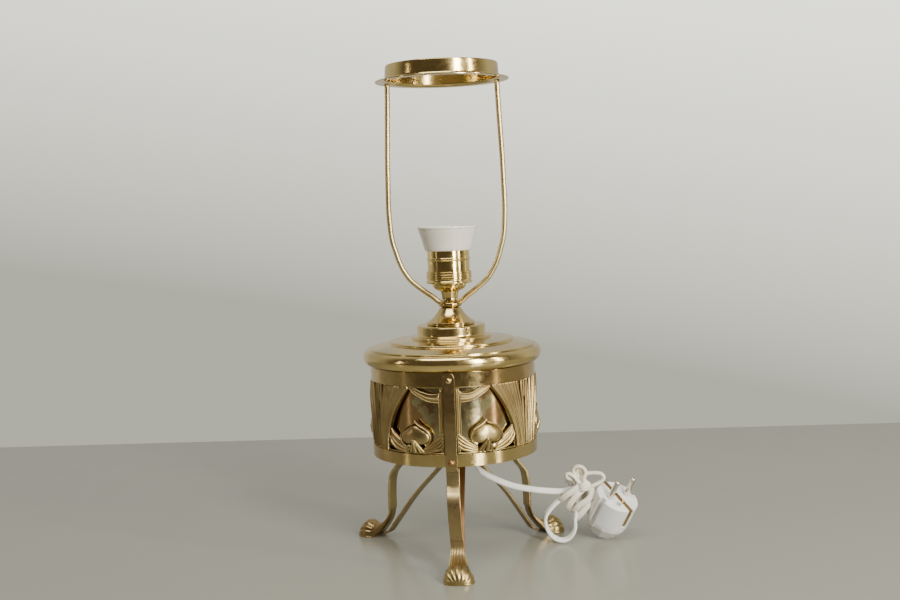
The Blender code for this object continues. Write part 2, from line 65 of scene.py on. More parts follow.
# The drum, its straps, and the vessel and lid that drop into it
DRUM_RADIUS, DRUM_WALL = 70.1, 1.0
LOWER_BAND, UPPER_BAND = (86.1, 96.0), (150.6, 162.3)
STRAP_WIDTH, STRAP_THICKNESS, STRAP_MIDDLE, STRAP_BOTTOM = 9.6, 1.3, 71.05, 82.7
RIVET_HEIGHT, SCREW_HEIGHT = 155.9, 89.6
TANK_RADIUS, TANK_WALL, TANK_CORNER, TANK_BOTTOM, TANK_TOP = 65.2, 1.0, 5.0, 90.0, 175.0
BEAD_CENTRE, BEAD_RADII, BEAD_WALL = (70.9, 169.3), (4.8, 6.3), 1.2
LID_BORE = 5.5

HARP_ROD_RADIUS = 2.2

# The cord, whose length in metres is that of its modelled path
CORD_WIDTH, CORD_THICKNESS, CORD_LENGTH = 5.4, 3.3, 0.75
CORD_PARTS, CORD_SIDES = 5, 20


# ---------------------------------------------------------------- small tools


def smooth(points, parts):
    """Catmull-Rom points through the given ones, with this many parts in each span."""
    p = np.array(points, float)
    p = np.vstack([2 * p[0] - p[1], p, 2 * p[-1] - p[-2]])
    t = np.linspace(0, 1, parts, endpoint=False)[:, None]
    found = []
    for i in range(1, len(p) - 2):
        a, b, c, d = p[i - 1:i + 3]
        found.append(
            0.5 * (2 * b + (c - a) * t + (2 * a - 5 * b + 4 * c - d) * t**2
                   + (3 * b - a - 3 * c + d) * t**3)
        )
    return np.vstack(found + [p[-2:-1]])


def arc(centre, radii, start, end, steps):
    angles = np.radians(np.linspace(start, end, steps + 1))
    return [(centre[0] + radii[0] * math.cos(a), centre[1] + radii[1] * math.sin(a)) for a in angles]


def soften(outline, radius, closed=True):
    """The outline with each corner rounded by a short curve."""
    points = [Vector(p) for p in outline]
    found = []
    for i, point in enumerate(points):
        if not closed and i in (0, len(points) - 1):
            found.append(point)
            continue
        before, after = points[i - 1] - point, points[(i + 1) % len(points)] - point
        if before.length < 1e-6 or after.length < 1e-6:
            continue
        if abs(before.angle(after)) > math.radians(166):
            found.append(point)
            continue
        reach = min(radius, before.length * 0.45, after.length * 0.45)
        first, last = point + before.normalized() * reach, point + after.normalized() * reach
        for t in (0, 1 / 3, 2 / 3, 1):
            found.append((1 - t) ** 2 * first + 2 * t * (1 - t) * point + t * t * last)
    return [tuple(p) for p in found]


def new_object(name, mesh, surface, weighted=True):
    for polygon in mesh.polygons:
        polygon.use_smooth = True
    made = bpy.data.objects.new(name, mesh)
    bpy.context.scene.collection.objects.link(made)
    mesh.materials.append(surface)
    if weighted:
        made.modifiers.new("Normals", "WEIGHTED_NORMAL").keep_sharp = True
    return made


def mesh_of(name, points, faces):
    mesh = bpy.data.meshes.new(name)
    mesh.from_pydata([tuple(p) for p in points], [], [tuple(f) for f in faces])
    mesh.validate()
    return mesh


def outwards(mesh):
    shape = bmesh.new()
    shape.from_mesh(mesh)
    bmesh.ops.recalc_face_normals(shape, faces=shape.faces)
    shape.to_mesh(mesh)
    shape.free()


def piece(name, mesh, surface, body, nodes=(), weighted=True):
    """A finished piece that rides on a body and stands for CAD nodes."""
    made = new_object(name, mesh, surface, weighted)
    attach(made, body)
    if nodes:
        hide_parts(*nodes)
    return made


def turned_mesh(name, outline, segments=ROUND, matrix=None):
    """A lathe mesh of (radius, height) points."""
    matrix = matrix or Matrix.Translation(AXIS)
    angles = np.linspace(0, 2 * math.pi, segments, endpoint=False)
    points, rings = [], []
    for r, z in outline:
        if r < 1e-6:
            rings.append([len(points)] * segments)
            points.append((0, 0, z * MM))
            continue
        rings.append(list(range(len(points), len(points) + segments)))
        for a in angles:
            points.append((r * math.cos(a) * MM, r * math.sin(a) * MM, z * MM))
    closed = outline[0][0] > 1e-6
    pairs = list(zip(rings, rings[1:])) + ([(rings[-1], rings[0])] if closed else [])
    faces = []
    for upper, lower in pairs:
        for i in range(segments):
            j = (i + 1) % segments
            face = list(dict.fromkeys((upper[i], lower[i], lower[j], upper[j])))
            if len(face) > 2:
                faces.append(face)
    mesh = mesh_of(name, [matrix @ Vector(p) for p in points], faces)
    outwards(mesh)
    return mesh


def turned(name, outline, surface, body, edge=0.25, segments=ROUND, matrix=None):
    """A turned piece. An outline that starts on the axis is open, any other is a closed ring."""
    closed = outline[0][0] > 1e-6
    mesh = turned_mesh(name, soften(outline, edge, closed), segments, matrix)
    return piece(name, mesh, surface, body, (name,))


def plate_mesh(name, outline, depth, matrix, edge=0.3):
    """A flat piece with rounded edges: (x, z) outline, centred across its depth along Y."""
    shape = bmesh.new()
    near = [shape.verts.new((x * MM, -depth / 2 * MM, z * MM)) for x, z in outline]
    extruded = bmesh.ops.extrude_face_region(shape, geom=[shape.faces.new(near)])
    moved = [v for v in extruded["geom"] if isinstance(v, bmesh.types.BMVert)]
    bmesh.ops.translate(shape, verts=moved, vec=(0, depth * MM, 0))
    bmesh.ops.recalc_face_normals(shape, faces=shape.faces)
    rims = [e for e in shape.edges if len(e.link_faces) == 2 and e.calc_face_angle() > math.radians(35)]
    bmesh.ops.bevel(shape, geom=rims, offset=edge * MM, segments=3, affect="EDGES", profile=0.5)
    mesh = bpy.data.meshes.new(name)
    shape.to_mesh(mesh)
    shape.free()
    mesh.transform(matrix)
    return mesh


def strip_outline(path, thickness):
    """The outline of a flat strip that follows a path of (x, z) points."""
    path = np.array(path, float)
    along = np.gradient(path, axis=0)
    along /= np.linalg.norm(along, axis=1)[:, None]
    across = np.stack([-along[:, 1], along[:, 0]], axis=1) * thickness / 2
    return [tuple(p) for p in np.vstack([path - across, (path + across)[::-1]])]


def around(azimuth):
    """The frame of a piece modelled along +X, turned to its azimuth about the lamp's axis."""
    return Matrix.Translation(AXIS) @ Matrix.Rotation(math.radians(azimuth), 4, "Z")


# ---------------------------------------------------------------- materials


class Nodes:
    """A short way to build a node tree."""

    def __init__(self, tree):
        self.tree = tree
        self.place = self.node("ShaderNodeTexCoord")

    def set(self, node, **values):
        for key, value in values.items():
            node.inputs[key.replace("_", " ")].default_value = value

    def node(self, kind, **values):
        made = self.tree.nodes.new(kind)
        self.set(made, **values)
        return made

    def link(self, source, target):
        self.tree.links.new(source, target)

    def noise(self, scale, detail=4.0, stretch=None, rough=0.55):
        made = self.node("ShaderNodeTexNoise", Scale=scale, Detail=detail, Roughness=rough)
        source = self.place.outputs["Object"]
        if stretch:
            mapping = self.node("ShaderNodeMapping", Scale=stretch)
            self.link(source, mapping.inputs["Vector"])
            source = mapping.outputs["Vector"]
        self.link(source, made.inputs["Vector"])
        return made.outputs["Fac"]

    def spread(self, source, low, high, to_low=0.0, to_high=1.0):
        made = self.node("ShaderNodeMapRange")
        for i, value in enumerate((low, high, to_low, to_high)):
            made.inputs[i + 1].default_value = value
        self.link(source, made.inputs[0])
        return made.outputs[0]

    def mix(self, factor, first, second):
        made = self.tree.nodes.new("ShaderNodeMix")
        made.data_type = "RGBA"
        for socket, value in ((made.inputs[6], first), (made.inputs[7], second)):
            if isinstance(value, tuple):
                socket.default_value = (*value, 1)
            else:
                self.link(value, socket)
        self.link(factor, made.inputs[0])
        return made.outputs[2]

    def math(self, operation, first, second):
        made = self.tree.nodes.new("ShaderNodeMath")
        made.operation = operation
        for socket, value in zip(made.inputs, (first, second)):
            if isinstance(value, (int, float)):
                socket.default_value = value
            else:
                self.link(value, socket)
        return made.outputs[0]


class Shader(Nodes):
    """A material with its principled shader."""

    def __init__(self, name, color, roughness, metallic=0.0, **settings):
        self.material = bpy.data.materials.new(name)
        self.material.use_nodes = True
        super().__init__(self.material.node_tree)
        self.shader = self.tree.nodes["Principled BSDF"]
        self.set(self.shader, Base_Color=(*color, 1), Roughness=roughness, Metallic=metallic, **settings)

    def turning_lines(self, scale):
        """Fine rings about the lamp's axis, as a lathe or a polishing cloth leaves."""
        shifted = self.node("ShaderNodeVectorMath")
        shifted.operation = "SUBTRACT"
        shifted.inputs[1].default_value = AXIS
        self.link(self.place.outputs["Object"], shifted.inputs[0])
        parts = self.node("ShaderNodeSeparateXYZ")
        self.link(shifted.outputs[0], parts.inputs[0])
        flat = self.node("ShaderNodeCombineXYZ")
        self.link(parts.outputs[0], flat.inputs[0])
        self.link(parts.outputs[1], flat.inputs[1])
        length = self.node("ShaderNodeVectorMath")
        length.operation = "LENGTH"
        self.link(flat.outputs[0], length.inputs[0])
        rings = self.node("ShaderNodeCombineXYZ")
        self.link(length.outputs["Value"], rings.inputs[0])
        self.link(parts.outputs[2], rings.inputs[2])
        made = self.node("ShaderNodeTexNoise", Scale=scale, Detail=3.0, Roughness=0.6)
        self.link(rings.outputs[0], made.inputs["Vector"])
        return made.outputs["Fac"]

    def bump(self, height, strength, distance=0.0001):
        made = self.node("ShaderNodeBump", Strength=strength, Distance=distance)
        self.link(height, made.inputs["Height"])
        self.link(made.outputs[0], self.shader.inputs["Normal"])

    def colour(self, source):
        self.link(source, self.shader.inputs["Base Color"])

    def roughness(self, source):
        self.link(source, self.shader.inputs["Roughness"])


def brass(name, bright, aged, dark, rough, patches, tarnish, hollows=None, lines=1800, bump=0.05):
    """Aged brass: broad tone changes, sharp-edged tarnish, hollows in relief darkened with patina and painted
    shade, and fine turning lines.
    """
    s = Shader(name, bright, rough, 1.0)
    tone = s.spread(s.noise(16, 5), *patches)
    colour = s.mix(tone, bright, aged)
    stain = s.spread(s.noise(26, 7, rough=0.62), *tarnish)
    colour = s.mix(s.math("MULTIPLY", stain, 0.8), colour, dark)
    fine = s.noise(260, 5)
    speck = s.spread(s.noise(700, 3), 0.68, 0.76)
    colour = s.mix(s.math("MULTIPLY", speck, 0.35), colour, dark)
    roughness = s.spread(fine, 0.3, 0.7, rough - 0.03, rough + 0.06)
    roughness = s.math("ADD", roughness, s.math("MULTIPLY", stain, 0.1))
    if hollows:
        # Patina and painted shade: hollows found by pointiness are mixed towards the dark colour.
        pointed = s.node("ShaderNodeNewGeometry").outputs["Pointiness"]
        hollow = s.spread(pointed, hollows[1], hollows[0])
        colour = s.mix(s.math("MULTIPLY", hollow, 0.8), colour, dark)
        roughness = s.math("ADD", roughness, s.math("MULTIPLY", hollow, 0.3))
    s.colour(colour)
    s.roughness(roughness)
    if bump:
        s.bump(s.math("ADD", s.turning_lines(lines), s.math("MULTIPLY", fine, 0.3)), bump)
    return s.material


def make_materials():
    golden, olive, brown = (0.74, 0.57, 0.24), (0.52, 0.40, 0.17), (0.24, 0.12, 0.045)
    dark = (0.10, 0.055, 0.025)
    found = {
        "spun": brass("spun_brass", golden, olive, (0.42, 0.24, 0.09), 0.16,
                      (0.46, 0.66), (0.66, 0.76), bump=0.03),
        "tank": brass("tank_brass", (0.52, 0.46, 0.26), (0.42, 0.27, 0.13), brown, 0.12,
                      (0.508, 0.514), (0.58, 0.72), lines=1400, bump=0.015),
        "band": brass("band_brass", (0.62, 0.48, 0.21), (0.44, 0.29, 0.12), brown, 0.13, (0.42, 0.62),
                      (0.6, 0.74), lines=2200, bump=0.02),
        "strap": brass("strap_brass", (0.50, 0.38, 0.18), (0.32, 0.22, 0.1), brown, 0.2, (0.42, 0.62),
                       (0.6, 0.74), lines=1500),
        "relief": brass("relief_brass", (0.50, 0.39, 0.18), (0.37, 0.26, 0.12), dark, 0.31,
                        (0.4, 0.62), (0.62, 0.78), (0.45, 0.5), bump=0),
        "cast": brass("cast_brass", (0.43, 0.33, 0.14), (0.3, 0.2, 0.09), brown, 0.32,
                      (0.42, 0.62), (0.6, 0.74), (0.43, 0.49), bump=0),
        "leg": brass("leg_brass", (0.48, 0.38, 0.18), (0.34, 0.23, 0.11), brown, 0.3,
                     (0.42, 0.62), (0.6, 0.74), bump=0),
        "rod": brass("rod_brass", (0.76, 0.62, 0.32), (0.62, 0.48, 0.23), brown, 0.34, (0.45, 0.6),
                     (0.68, 0.8), bump=0),
        "holder": brass("holder_brass", (0.82, 0.65, 0.27), (0.62, 0.48, 0.19), brown, 0.13, (0.45, 0.65),
                        (0.68, 0.8), lines=2200, bump=0.04),
        # reddish metal for the contact and the strap screws, and painted shade on the front brace
        "reddish_metal_and_painted_shade": brass("reddish_brass", (0.44, 0.25, 0.11), (0.3, 0.14, 0.06), brown, 0.36, (0.4, 0.6),
                        (0.6, 0.75), bump=0),
    }

    s = Shader("porcelain_glaze", (0.8, 0.77, 0.7), 0.12, Coat_Weight=0.4, Coat_Roughness=0.05)
    cloud = s.noise(60, 5)
    speck = s.spread(s.noise(900, 2), 0.72, 0.8)
    s.colour(s.mix(s.math("MULTIPLY", speck, 0.35), s.mix(cloud, (0.84, 0.81, 0.74), (0.76, 0.73, 0.65)),
                   (0.4, 0.34, 0.26)))
    s.roughness(s.spread(cloud, 0.3, 0.7, 0.1, 0.2))
    s.bump(s.noise(140, 3), 0.05)
    found["porcelain"] = s.material

    s = Shader("cord_vinyl", (0.82, 0.8, 0.74), 0.42, Subsurface_Weight=0.05)
    age = s.tree.nodes.new("ShaderNodeAttribute")
    age.attribute_name = "age"
    grime = s.spread(s.noise(90, 6), 0.45, 0.75)
    fresh = s.mix(grime, (0.82, 0.81, 0.78), (0.7, 0.68, 0.63))
    yellowed = s.mix(grime, (0.86, 0.81, 0.68), (0.74, 0.67, 0.53))
    s.colour(s.mix(age.outputs["Fac"], fresh, yellowed))
    s.roughness(s.spread(s.noise(500, 2), 0.3, 0.7, 0.36, 0.5))
    s.bump(s.noise(900, 3), 0.06)
    found["cord"] = s.material

    s = Shader("plug_moulding", (0.82, 0.82, 0.8), 0.32)
    haze = s.noise(70, 5)
    s.colour(s.mix(s.spread(haze, 0.4, 0.7), (0.83, 0.83, 0.82), (0.74, 0.735, 0.71)))
    s.roughness(s.spread(s.noise(420, 3), 0.3, 0.7, 0.27, 0.42))
    s.bump(s.noise(1800, 2), 0.08)
    found["plug"] = s.material

    s = Shader("nickel_plate", (0.74, 0.7, 0.62), 0.2, 1.0)
    worn = s.spread(s.noise(160, 6), 0.5, 0.68)
    s.colour(s.mix(worn, (0.76, 0.73, 0.67), (0.62, 0.5, 0.33)))
    s.roughness(s.spread(s.noise(300, 4), 0.3, 0.7, 0.14, 0.3))
    s.bump(s.noise(700, 3, (1, 1, 0.1)), 0.1)
    found["nickel"] = s.material

    s = Shader("black_steel", (0.05, 0.045, 0.04), 0.45, 1.0)
    s.colour(s.mix(s.noise(400, 5), (0.04, 0.035, 0.03), (0.16, 0.12, 0.09)))
    s.roughness(s.spread(s.noise(600, 3), 0.3, 0.7, 0.35, 0.6))
    found["steel"] = s.material

    s = Shader("black_bush", (0.04, 0.04, 0.04), 0.5)
    s.colour(s.mix(s.noise(300, 4), (0.03, 0.03, 0.03), (0.07, 0.068, 0.065)))
    s.bump(s.noise(1200, 2), 0.1)
    found["bush"] = s.material
    return found


# ---------------------------------------------------------------- turned pieces


def drum(m):
    inner = DRUM_RADIUS - DRUM_WALL
    for name, (low, high) in (("upper_band", UPPER_BAND), ("lower_band", LOWER_BAND)):
        outline = [(DRUM_RADIUS, high), (DRUM_RADIUS, low), (inner, low), (inner, high)]
        turned(name, outline, m["band"], "stand")
    corner = (TANK_RADIUS - TANK_CORNER, TANK_BOTTOM + TANK_CORNER)
    hollow = TANK_CORNER - TANK_WALL
    tank = [(TANK_RADIUS, TANK_TOP)] + arc(corner, (TANK_CORNER, TANK_CORNER), 0, -90, 8)
    tank += [(7, TANK_BOTTOM), (7, TANK_BOTTOM + TANK_WALL)]
    tank += arc(corner, (hollow, hollow), -90, 0, 6) + [(TANK_RADIUS - TANK_WALL, TANK_TOP)]
    turned("tank_shell", tank, m["tank"], "font", edge=0.2)


def lid(m):
    outline = [
        (LID_BORE, 194.1), (28.1, 194.1), (29.1, 193.0), (29.1, 186.9), (29.4, 186.0), (30.6, 185.4),
        (33.6, 184.9), (34.3, 184.3), (34.3, 183.3), (35.0, 183.0), (51.8, 181.7), (52.9, 181.1),
        (52.9, 180.0), (53.6, 179.6), (68.7, 176.9), (69.9, 176.2), (69.9, 175.0), (70.5, 174.9),
    ]
    outline += arc(BEAD_CENTRE, BEAD_RADII, 72, -84, 22)
    outline += [(69.9, 162.7), (67.6, 162.7), (67.6, 158.4), (66.6, 158.4), (66.6, 164.2)]
    outline += arc(BEAD_CENTRE, [radius - BEAD_WALL for radius in BEAD_RADII], -80, 80, 10)
    outline += [(52.6, 178.2), (33.9, 181.8), (27.9, 184.4), (27.9, 192.9), (LID_BORE, 192.9)]
    turned("lid", outline, m["spun"], "font", edge=0.28, segments=200)
    curve = smooth([
        (9.3, 207.6), (10.1, 206.2), (11.9, 203.5), (14.2, 200.8), (16.8, 198.6), (19.0, 197.2),
        (20.4, 196.5),
    ], 5)
    under = smooth([(19.2, 195.8), (15.0, 198.6), (11.6, 202.0), (9.4, 205.0), (8.4, 207.0)], 3)
    cap = [(LID_BORE, 208.2), (8.8, 208.2)] + [tuple(p) for p in curve]
    cap += [(20.4, 194.4), (19.4, 194.4)] + [tuple(p) for p in under] + [(LID_BORE, 207.0)]
    turned("vase_cap", cap, m["spun"], "font", edge=0.3)


def harp(m):
    hub = [(5.3, 214.6), (7.2, 214.6), (7.5, 213.9)] + arc((7.6, 211.3), (2.6, 2.4), 84, -84, 12)
    hub += [(7.5, 208.7), (7.2, 208.3), (5.3, 208.3)]
    turned("harp_hub", hub, m["spun"], "harp", edge=0.3)
    ring = [(45.9, 412.0), (46.4, 412.4), (47.0, 411.9), (47.3, 409.8), (47.8, 402.4)]
    ring += arc((50.6, 402.2), (2.8, 2.8), 180, 270, 6)
    ring += [(56.1, 399.4), (56.1, 398.5), (50.2, 398.5)] + arc((50.0, 401.6), (3.2, 3.1), 268, 182, 6)
    ring += [(46.8, 402.4), (46.2, 409.8), (45.7, 411.6)]
    turned("shade_ring", ring, m["spun"], "harp", edge=0.3, segments=200)
    route = smooth([
        (7.4, 212.2), (10.6, 214.2), (14.3, 217.6), (22.0, 223.2), (32.0, 231.6), (38.0, 240.1),
        (41.9, 248.6), (44.5, 257.1), (46.8, 265.1), (48.1, 274.1), (49.1, 291.0), (48.9, 307.8), (48.4, 332.6),
        (47.4, 358.2), (46.4, 382.7), (46.0, 398.3),
    ], 5)
    for side, name in ((1, "harp_arm_right"), (-1, "harp_arm_left")):
        path = [AXIS + Vector((side * r, 0, z)) * MM for r, z in route]
        mesh = swept_mesh(name, path, [Vector((0, 1, 0))] * len(path), round_section(HARP_ROD_RADIUS, 24))
        piece(name, mesh, m["rod"], "harp", (name,))


def lampholder(m):
    neck = [(5.3, 222.3), (7.9, 222.3), (7.7, 221.2), (7.0, 218.8), (6.7, 216.4), (6.9, 215.3), (5.3, 215.3)]
    turned("holder_neck", neck, m["holder"], "font")
    cup = [(14.6, 229.0), (14.5, 227.6), (13.9, 226.0), (12.6, 224.5), (10.6, 223.3), (8.6, 222.6)]
    cup += [(5.3, 222.6), (5.3, 223.7), (8.2, 223.8), (11.0, 224.8), (12.8, 226.6), (13.6, 229.0)]
    turned("holder_cup", cup, m["holder"], "font")
    ring, z = [(18.3, 239.3)], 239.3
    for _ in range(3):  # three rounded ribs with narrow grooves, over a flared flange
        ring += [(19.2, z - 0.2), (19.2, z - 1.7), (18.55, z - 2.0)]
        z -= 2.2
    ring += [(18.5, 232.2), (19.0, 231.2), (19.8, 230.6), (19.8, 229.8), (19.3, 229.3)]
    ring += [(18.0, 229.3), (10.0, 229.3), (10.0, 230.2), (17.5, 230.2), (17.5, 239.3)]
    turned("holder_ring", ring, m["holder"], "font", edge=0.3)
    shell = [(17.8, 262.0), (17.8, 251.3)] + arc((17.8, 249.8), (0.7, 1.1), 80, -80, 8)
    shell += [(17.8, 248.3), (17.8, 239.4), (17.1, 238.9), (17.1, 230.6), (16.3, 230.6), (16.3, 262.0)]
    turned("holder_shell", shell, m["holder"], "holder_sleeve", edge=0.15)
    insert = [(15.6, 258.0), (15.6, 230.6), (3.6, 230.6), (3.6, 236.0), (14.1, 236.0), (14.1, 258.0)]
    turned("holder_insert", insert, m["porcelain"], "font")
    outer, inner, z = [], [], 257.4
    while z > 238.5:  # the rolled thread, as rounded rings of its pitch
        outer += [(13.75, z), (13.3, z - 1.8)]
        inner += [(13.3, z), (12.85, z - 1.8)]
        z -= 3.6
    thread = outer + [(13.3, 236.4), (10, 236.4), (10, 237.0), (12.8, 237.0)] + inner[::-1]
    turned("thread_shell", thread, m["holder"], "font", edge=0.7)
    contact = [(0, 239.6), (2.2, 239.6), (3.2, 238.4), (3.2, 231.0), (0, 231.0)]
    turned("centre_contact", contact, m["reddish_metal_and_painted_shade"], "font", segments=48)
    screw = Matrix.Translation(AXIS + Vector((0, 0, 241.6 * MM))) @ Matrix.Rotation(math.radians(-20), 4, "Z")
    screw = screw @ Matrix.Rotation(math.pi / 2, 4, "Y")
    pin = [(0, 17.5), (1.2, 17.5), (1.2, 16.2), (0, 16.2)]
    turned("grub_screw", pin, m["steel"], "holder_sleeve", segments=32, matrix=screw)
    outer = [(25.5, 276.8), (25.5, 275.9), (24.9, 275.3)]
    flare = [(24.7, 274.6), (24.4, 273.4), (23.0, 269.0), (21.6, 264.4), (20.5, 260.0), (19.7, 257.4)]
    outer += [tuple(p) for p in smooth(flare, 5)]
    inner = smooth([(19.0, 266.2), (20.6, 269.4), (22.4, 273.4), (23.8, 276.6)], 5)
    shade = [(25.0, 277.4)] + outer + [(19.2, 256.8), (18.0, 256.8), (18.0, 265.0)]
    shade += [tuple(p) for p in inner] + [(24.2, 277.3)]
    turned("porcelain_ring", shade, m["porcelain"], "shade_collar", edge=0.5)


# ---------------------------------------------------------------- swept pieces


def round_section(radius, sides):
    angles = np.linspace(0, 2 * math.pi, sides, endpoint=False)
    return [(radius * math.cos(a), radius * math.sin(a)) for a in angles]


def twin_section():
    """A flat twin cord: an oval with a shallow groove along each flat side."""
    found = []
    for a in np.linspace(0, 2 * math.pi, CORD_SIDES, endpoint=False):
        x, y = CORD_WIDTH / 2 * math.cos(a), CORD_THICKNESS / 2 * math.sin(a)
        y = math.copysign(abs(y) ** 0.8 * (CORD_THICKNESS / 2) ** 0.2, y)
        found.append((x, y * (1 - 0.16 * math.exp(-((x / 0.7) ** 2)))))
    return found


def swept_mesh(name, path, wide, section):
    """A tube along path in metres. The section's x, in millimetres, lies along the wide direction."""
    p = np.array([tuple(v) for v in path])
    along = np.gradient(p, axis=0)
    along /= np.linalg.norm(along, axis=1)[:, None]
    across = np.array([tuple(v) for v in wide], float)
    across -= (across * along).sum(axis=1)[:, None] * along
    across /= np.linalg.norm(across, axis=1)[:, None]
    normal = np.cross(along, across)
    count = len(section)
    points = np.vstack([c + (a * x + n * y) * MM for c, a, n in zip(p, across, normal) for x, y in section])
    faces = [tuple(range(count))[::-1], tuple(range(len(points) - count, len(points)))]
    for i in range(len(p) - 1):
        for j in range(count):
            k = (j + 1) % count
            faces.append((i * count + j, i * count + k, (i + 1) * count + k, (i + 1) * count + j))
    mesh = mesh_of(name, points, faces)
    outwards(mesh)
    return mesh


def lean(points, side, aside=0.0):
    """Moves points, in the leg's own frame in metres, as the real legs and braces lean."""
    bow = FRONT_LEAN if side == "front" else 0.0
    turn = math.radians(AZIMUTHS[side])
    for point in points:
        share = point.co.z / MM / LEG_TOP
        point.co.x += aside * share * math.cos(turn) * MM
        point.co.y += (bow * max(0.0, 1 - share) ** 2 - aside * share * math.sin(turn)) * MM


def frame_bars(m):
    bend = smooth([
        (44.0, 84.4), (51.4, 84.4), (55.0, 83.4), (56.8, 80.6), (57.4, 75.0), (58.8, 69.6),
        (61.6, 65.4), (65.0, 61.4), (67.3, 56.8), (68.6, 49.7), (69.3, 39.4), (69.4, 30.0), (69.6, 26.0),
    ], 6)
    slant = smooth([
        (9.0, 83.6), (21.0, 68.6), (44.4, 43.6), (58.0, 25.8), (70.4, 8.8), (73.2, 5.6), (77.2, 3.8),
    ], 6)
    kinds = (("leg", bend, 2.4, 10.8, 0), ("brace", slant, 2.0, 9.0, BRACES_ASIDE))
    for side, azimuth in AZIMUTHS.items():
        for kind, path, thick, wide, aside in kinds:
            name = f"{kind}_{side}"
            mesh = plate_mesh(name, strip_outline(path, thick), wide, Matrix(), 0.55)
            lean(mesh.vertices, side, aside)
            mesh.transform(around(azimuth))
            # Painted shade: the front brace alone takes the darker, reddish brass, for the shadow that it
            # stands in.
            surface = "reddish_metal_and_painted_shade" if name == "brace_front" else "leg"
            piece(name, mesh, m[surface], "stand", (name,))
        strap(m, side, azimuth)


def strap(m, side, azimuth):
    """An upright strap with a round top, its rivet, and its slotted screw."""
    half = STRAP_WIDTH / 2
    outline = [(-half, STRAP_BOTTOM), (half, STRAP_BOTTOM)]
    outline += arc((0, UPPER_BAND[1] - half), (half, half), 0, 180, 24)
    upright = around(azimuth) @ Matrix.Translation((STRAP_MIDDLE * MM, 0, 0))
    upright = upright @ Matrix.Rotation(math.pi / 2, 4, "Z")
    mesh = plate_mesh(f"strap_{side}", outline, STRAP_THICKNESS, upright, 0.35)
    piece(f"strap_{side}", mesh, m["strap"], "stand", (f"strap_{side}",))
    head = [(0, 73.9), (1.0, 73.75), (1.9, 73.2), (2.5, 72.3), (2.6, 71.7)]
    head += [(1.1, 71.7), (1.1, 68.1), (0, 68.1)]
    for kind, height, surface in (("rivet", RIVET_HEIGHT, "band"), ("screw", SCREW_HEIGHT, "reddish_metal_and_painted_shade")):
        out = around(azimuth) @ Matrix.Translation((0, 0, height * MM))
        out = out @ Matrix.Rotation(math.pi / 2, 4, "Y")
        name = f"strap_{kind}_{side}"
        made = turned(name, head, m[surface], "stand", segments=40, matrix=out)
        if kind == "screw":
            turn = out @ Matrix.Rotation(0.5, 4, "Z")
            slot = plate_mesh("slot", [(-4, 73.2), (4, 73.2), (4, 76), (-4, 76)], 0.7, turn, 0.05)
            combine(made, cutter("slot", slot), "DIFFERENCE")


def paw():
    """Points and faces of a paw: the leg's strip widens into a fluted ankle and then seven toes."""
    keys = [  # distance, top, underside, half width, depth of the grooves, bulge of the cross-section
        (69.4, 30.5, 30.3, 5.35, 0.0, 0.02), (69.8, 26.0, 25.8, 5.4, 0.0, 0.04),
        (71.2, 21.4, 20.4, 5.5, 0.1, 0.08), (73.6, 17.6, 15.8, 5.8, 0.4, 0.15),
        (77.0, 14.6, 11.2, 6.6, 0.6, 0.3), (80.6, 12.6, 6.8, 7.7, 0.7, 0.5),
        (84.2, 11.5, 2.5, 8.9, 0.7, 0.75), (87.2, 11.3, 0.9, 9.9, 0.8, 0.9),
        (89.2, 11.8, 0.9, 10.7, 0.9, 1.0), (91.4, 13.0, 0.9, 11.6, 1.1, 1.0),
        (94.0, 13.7, 0.9, 12.1, 1.2, 1.0), (96.4, 13.3, 0.9, 12.0, 1.2, 1.0),
        (98.9, 11.8, 0.9, 11.2, 1.2, 1.0), (101.0, 9.4, 0.9, 9.8, 1.1, 1.0),
        (102.5, 6.6, 0.9, 7.8, 0.9, 1.0), (103.2, 3.8, 0.9, 5.6, 0.5, 1.0),
        (103.5, 2.0, 0.9, 4.0, 0.1, 1.0),
    ]
    rows = smooth(keys, 4)
    across, toes = 126, 7
    points, faces = [], []
    for r, top, low, half, groove, bulge in rows:
        thick = max(top - low, 0.2)
        for j in range(across + 1):
            a = math.pi * j / across
            step = (a / math.pi) * toes
            flute = max(0.0, 1 - abs(step - round(step)) / 0.42) ** 1.4 if 0 < round(step) < toes else 0.0
            shape = bulge * math.sin(a) ** 0.8 + (1 - bulge) * min(1.0, 6 * math.sin(a))
            rise = thick * shape - groove * flute * (0.35 + 0.65 * math.sin(a))
            side_in = 1 - 0.8 * groove * flute * (1 - math.sin(a)) / half
            points.append((r * MM, half * side_in * math.cos(a) * MM, (low + max(rise, 0.05)) * MM))
    count = across + 1
    for i in range(len(rows) - 1):
        for j in range(across):
            here, ahead = i * count + j, (i + 1) * count + j
            faces.append((here, here + 1, ahead + 1, ahead))
    base = len(points)
    for r, _, low, half, _, bulge in rows:  # underside, and the sole's rim
        edge = half + 0.3 if low < 1.0 else half
        drop = 0.0 if low < 1.0 else low - 1.6 * (1 - bulge)
        points += [(r * MM, edge * MM, low * MM), (r * MM, edge * MM, drop * MM),
                   (r * MM, -edge * MM, drop * MM), (r * MM, -edge * MM, low * MM)]
    for i in range(len(rows) - 1):
        a, b = base + 4 * i, base + 4 * (i + 1)
        for j in range(3):
            faces.append((a + j, b + j, b + j + 1, a + j + 1))
        faces.append((a, i * count, (i + 1) * count, b))
        faces.append((a + 3, b + 3, (i + 1) * count + across, i * count + across))
    last = (len(rows) - 1) * count
    end = base + 4 * (len(rows) - 1)
    faces.append(tuple(range(count)) + (base + 3, base + 2, base + 1, base))
    faces.append(tuple(range(last, last + count)) + (end + 3, end + 2, end + 1, end))
    return points, faces


def paw_feet(m):
    points, faces = paw()
    for side, azimuth in AZIMUTHS.items():
        mesh = mesh_of(f"foot_{side}", points, faces)
        lean(mesh.vertices, side)
        mesh.transform(around(azimuth))
        outwards(mesh)
        piece(f"foot_{side}", mesh, m["cast"], "stand", (f"foot_{side}",), weighted=False)


# ---------------------------------------------------------------- frieze


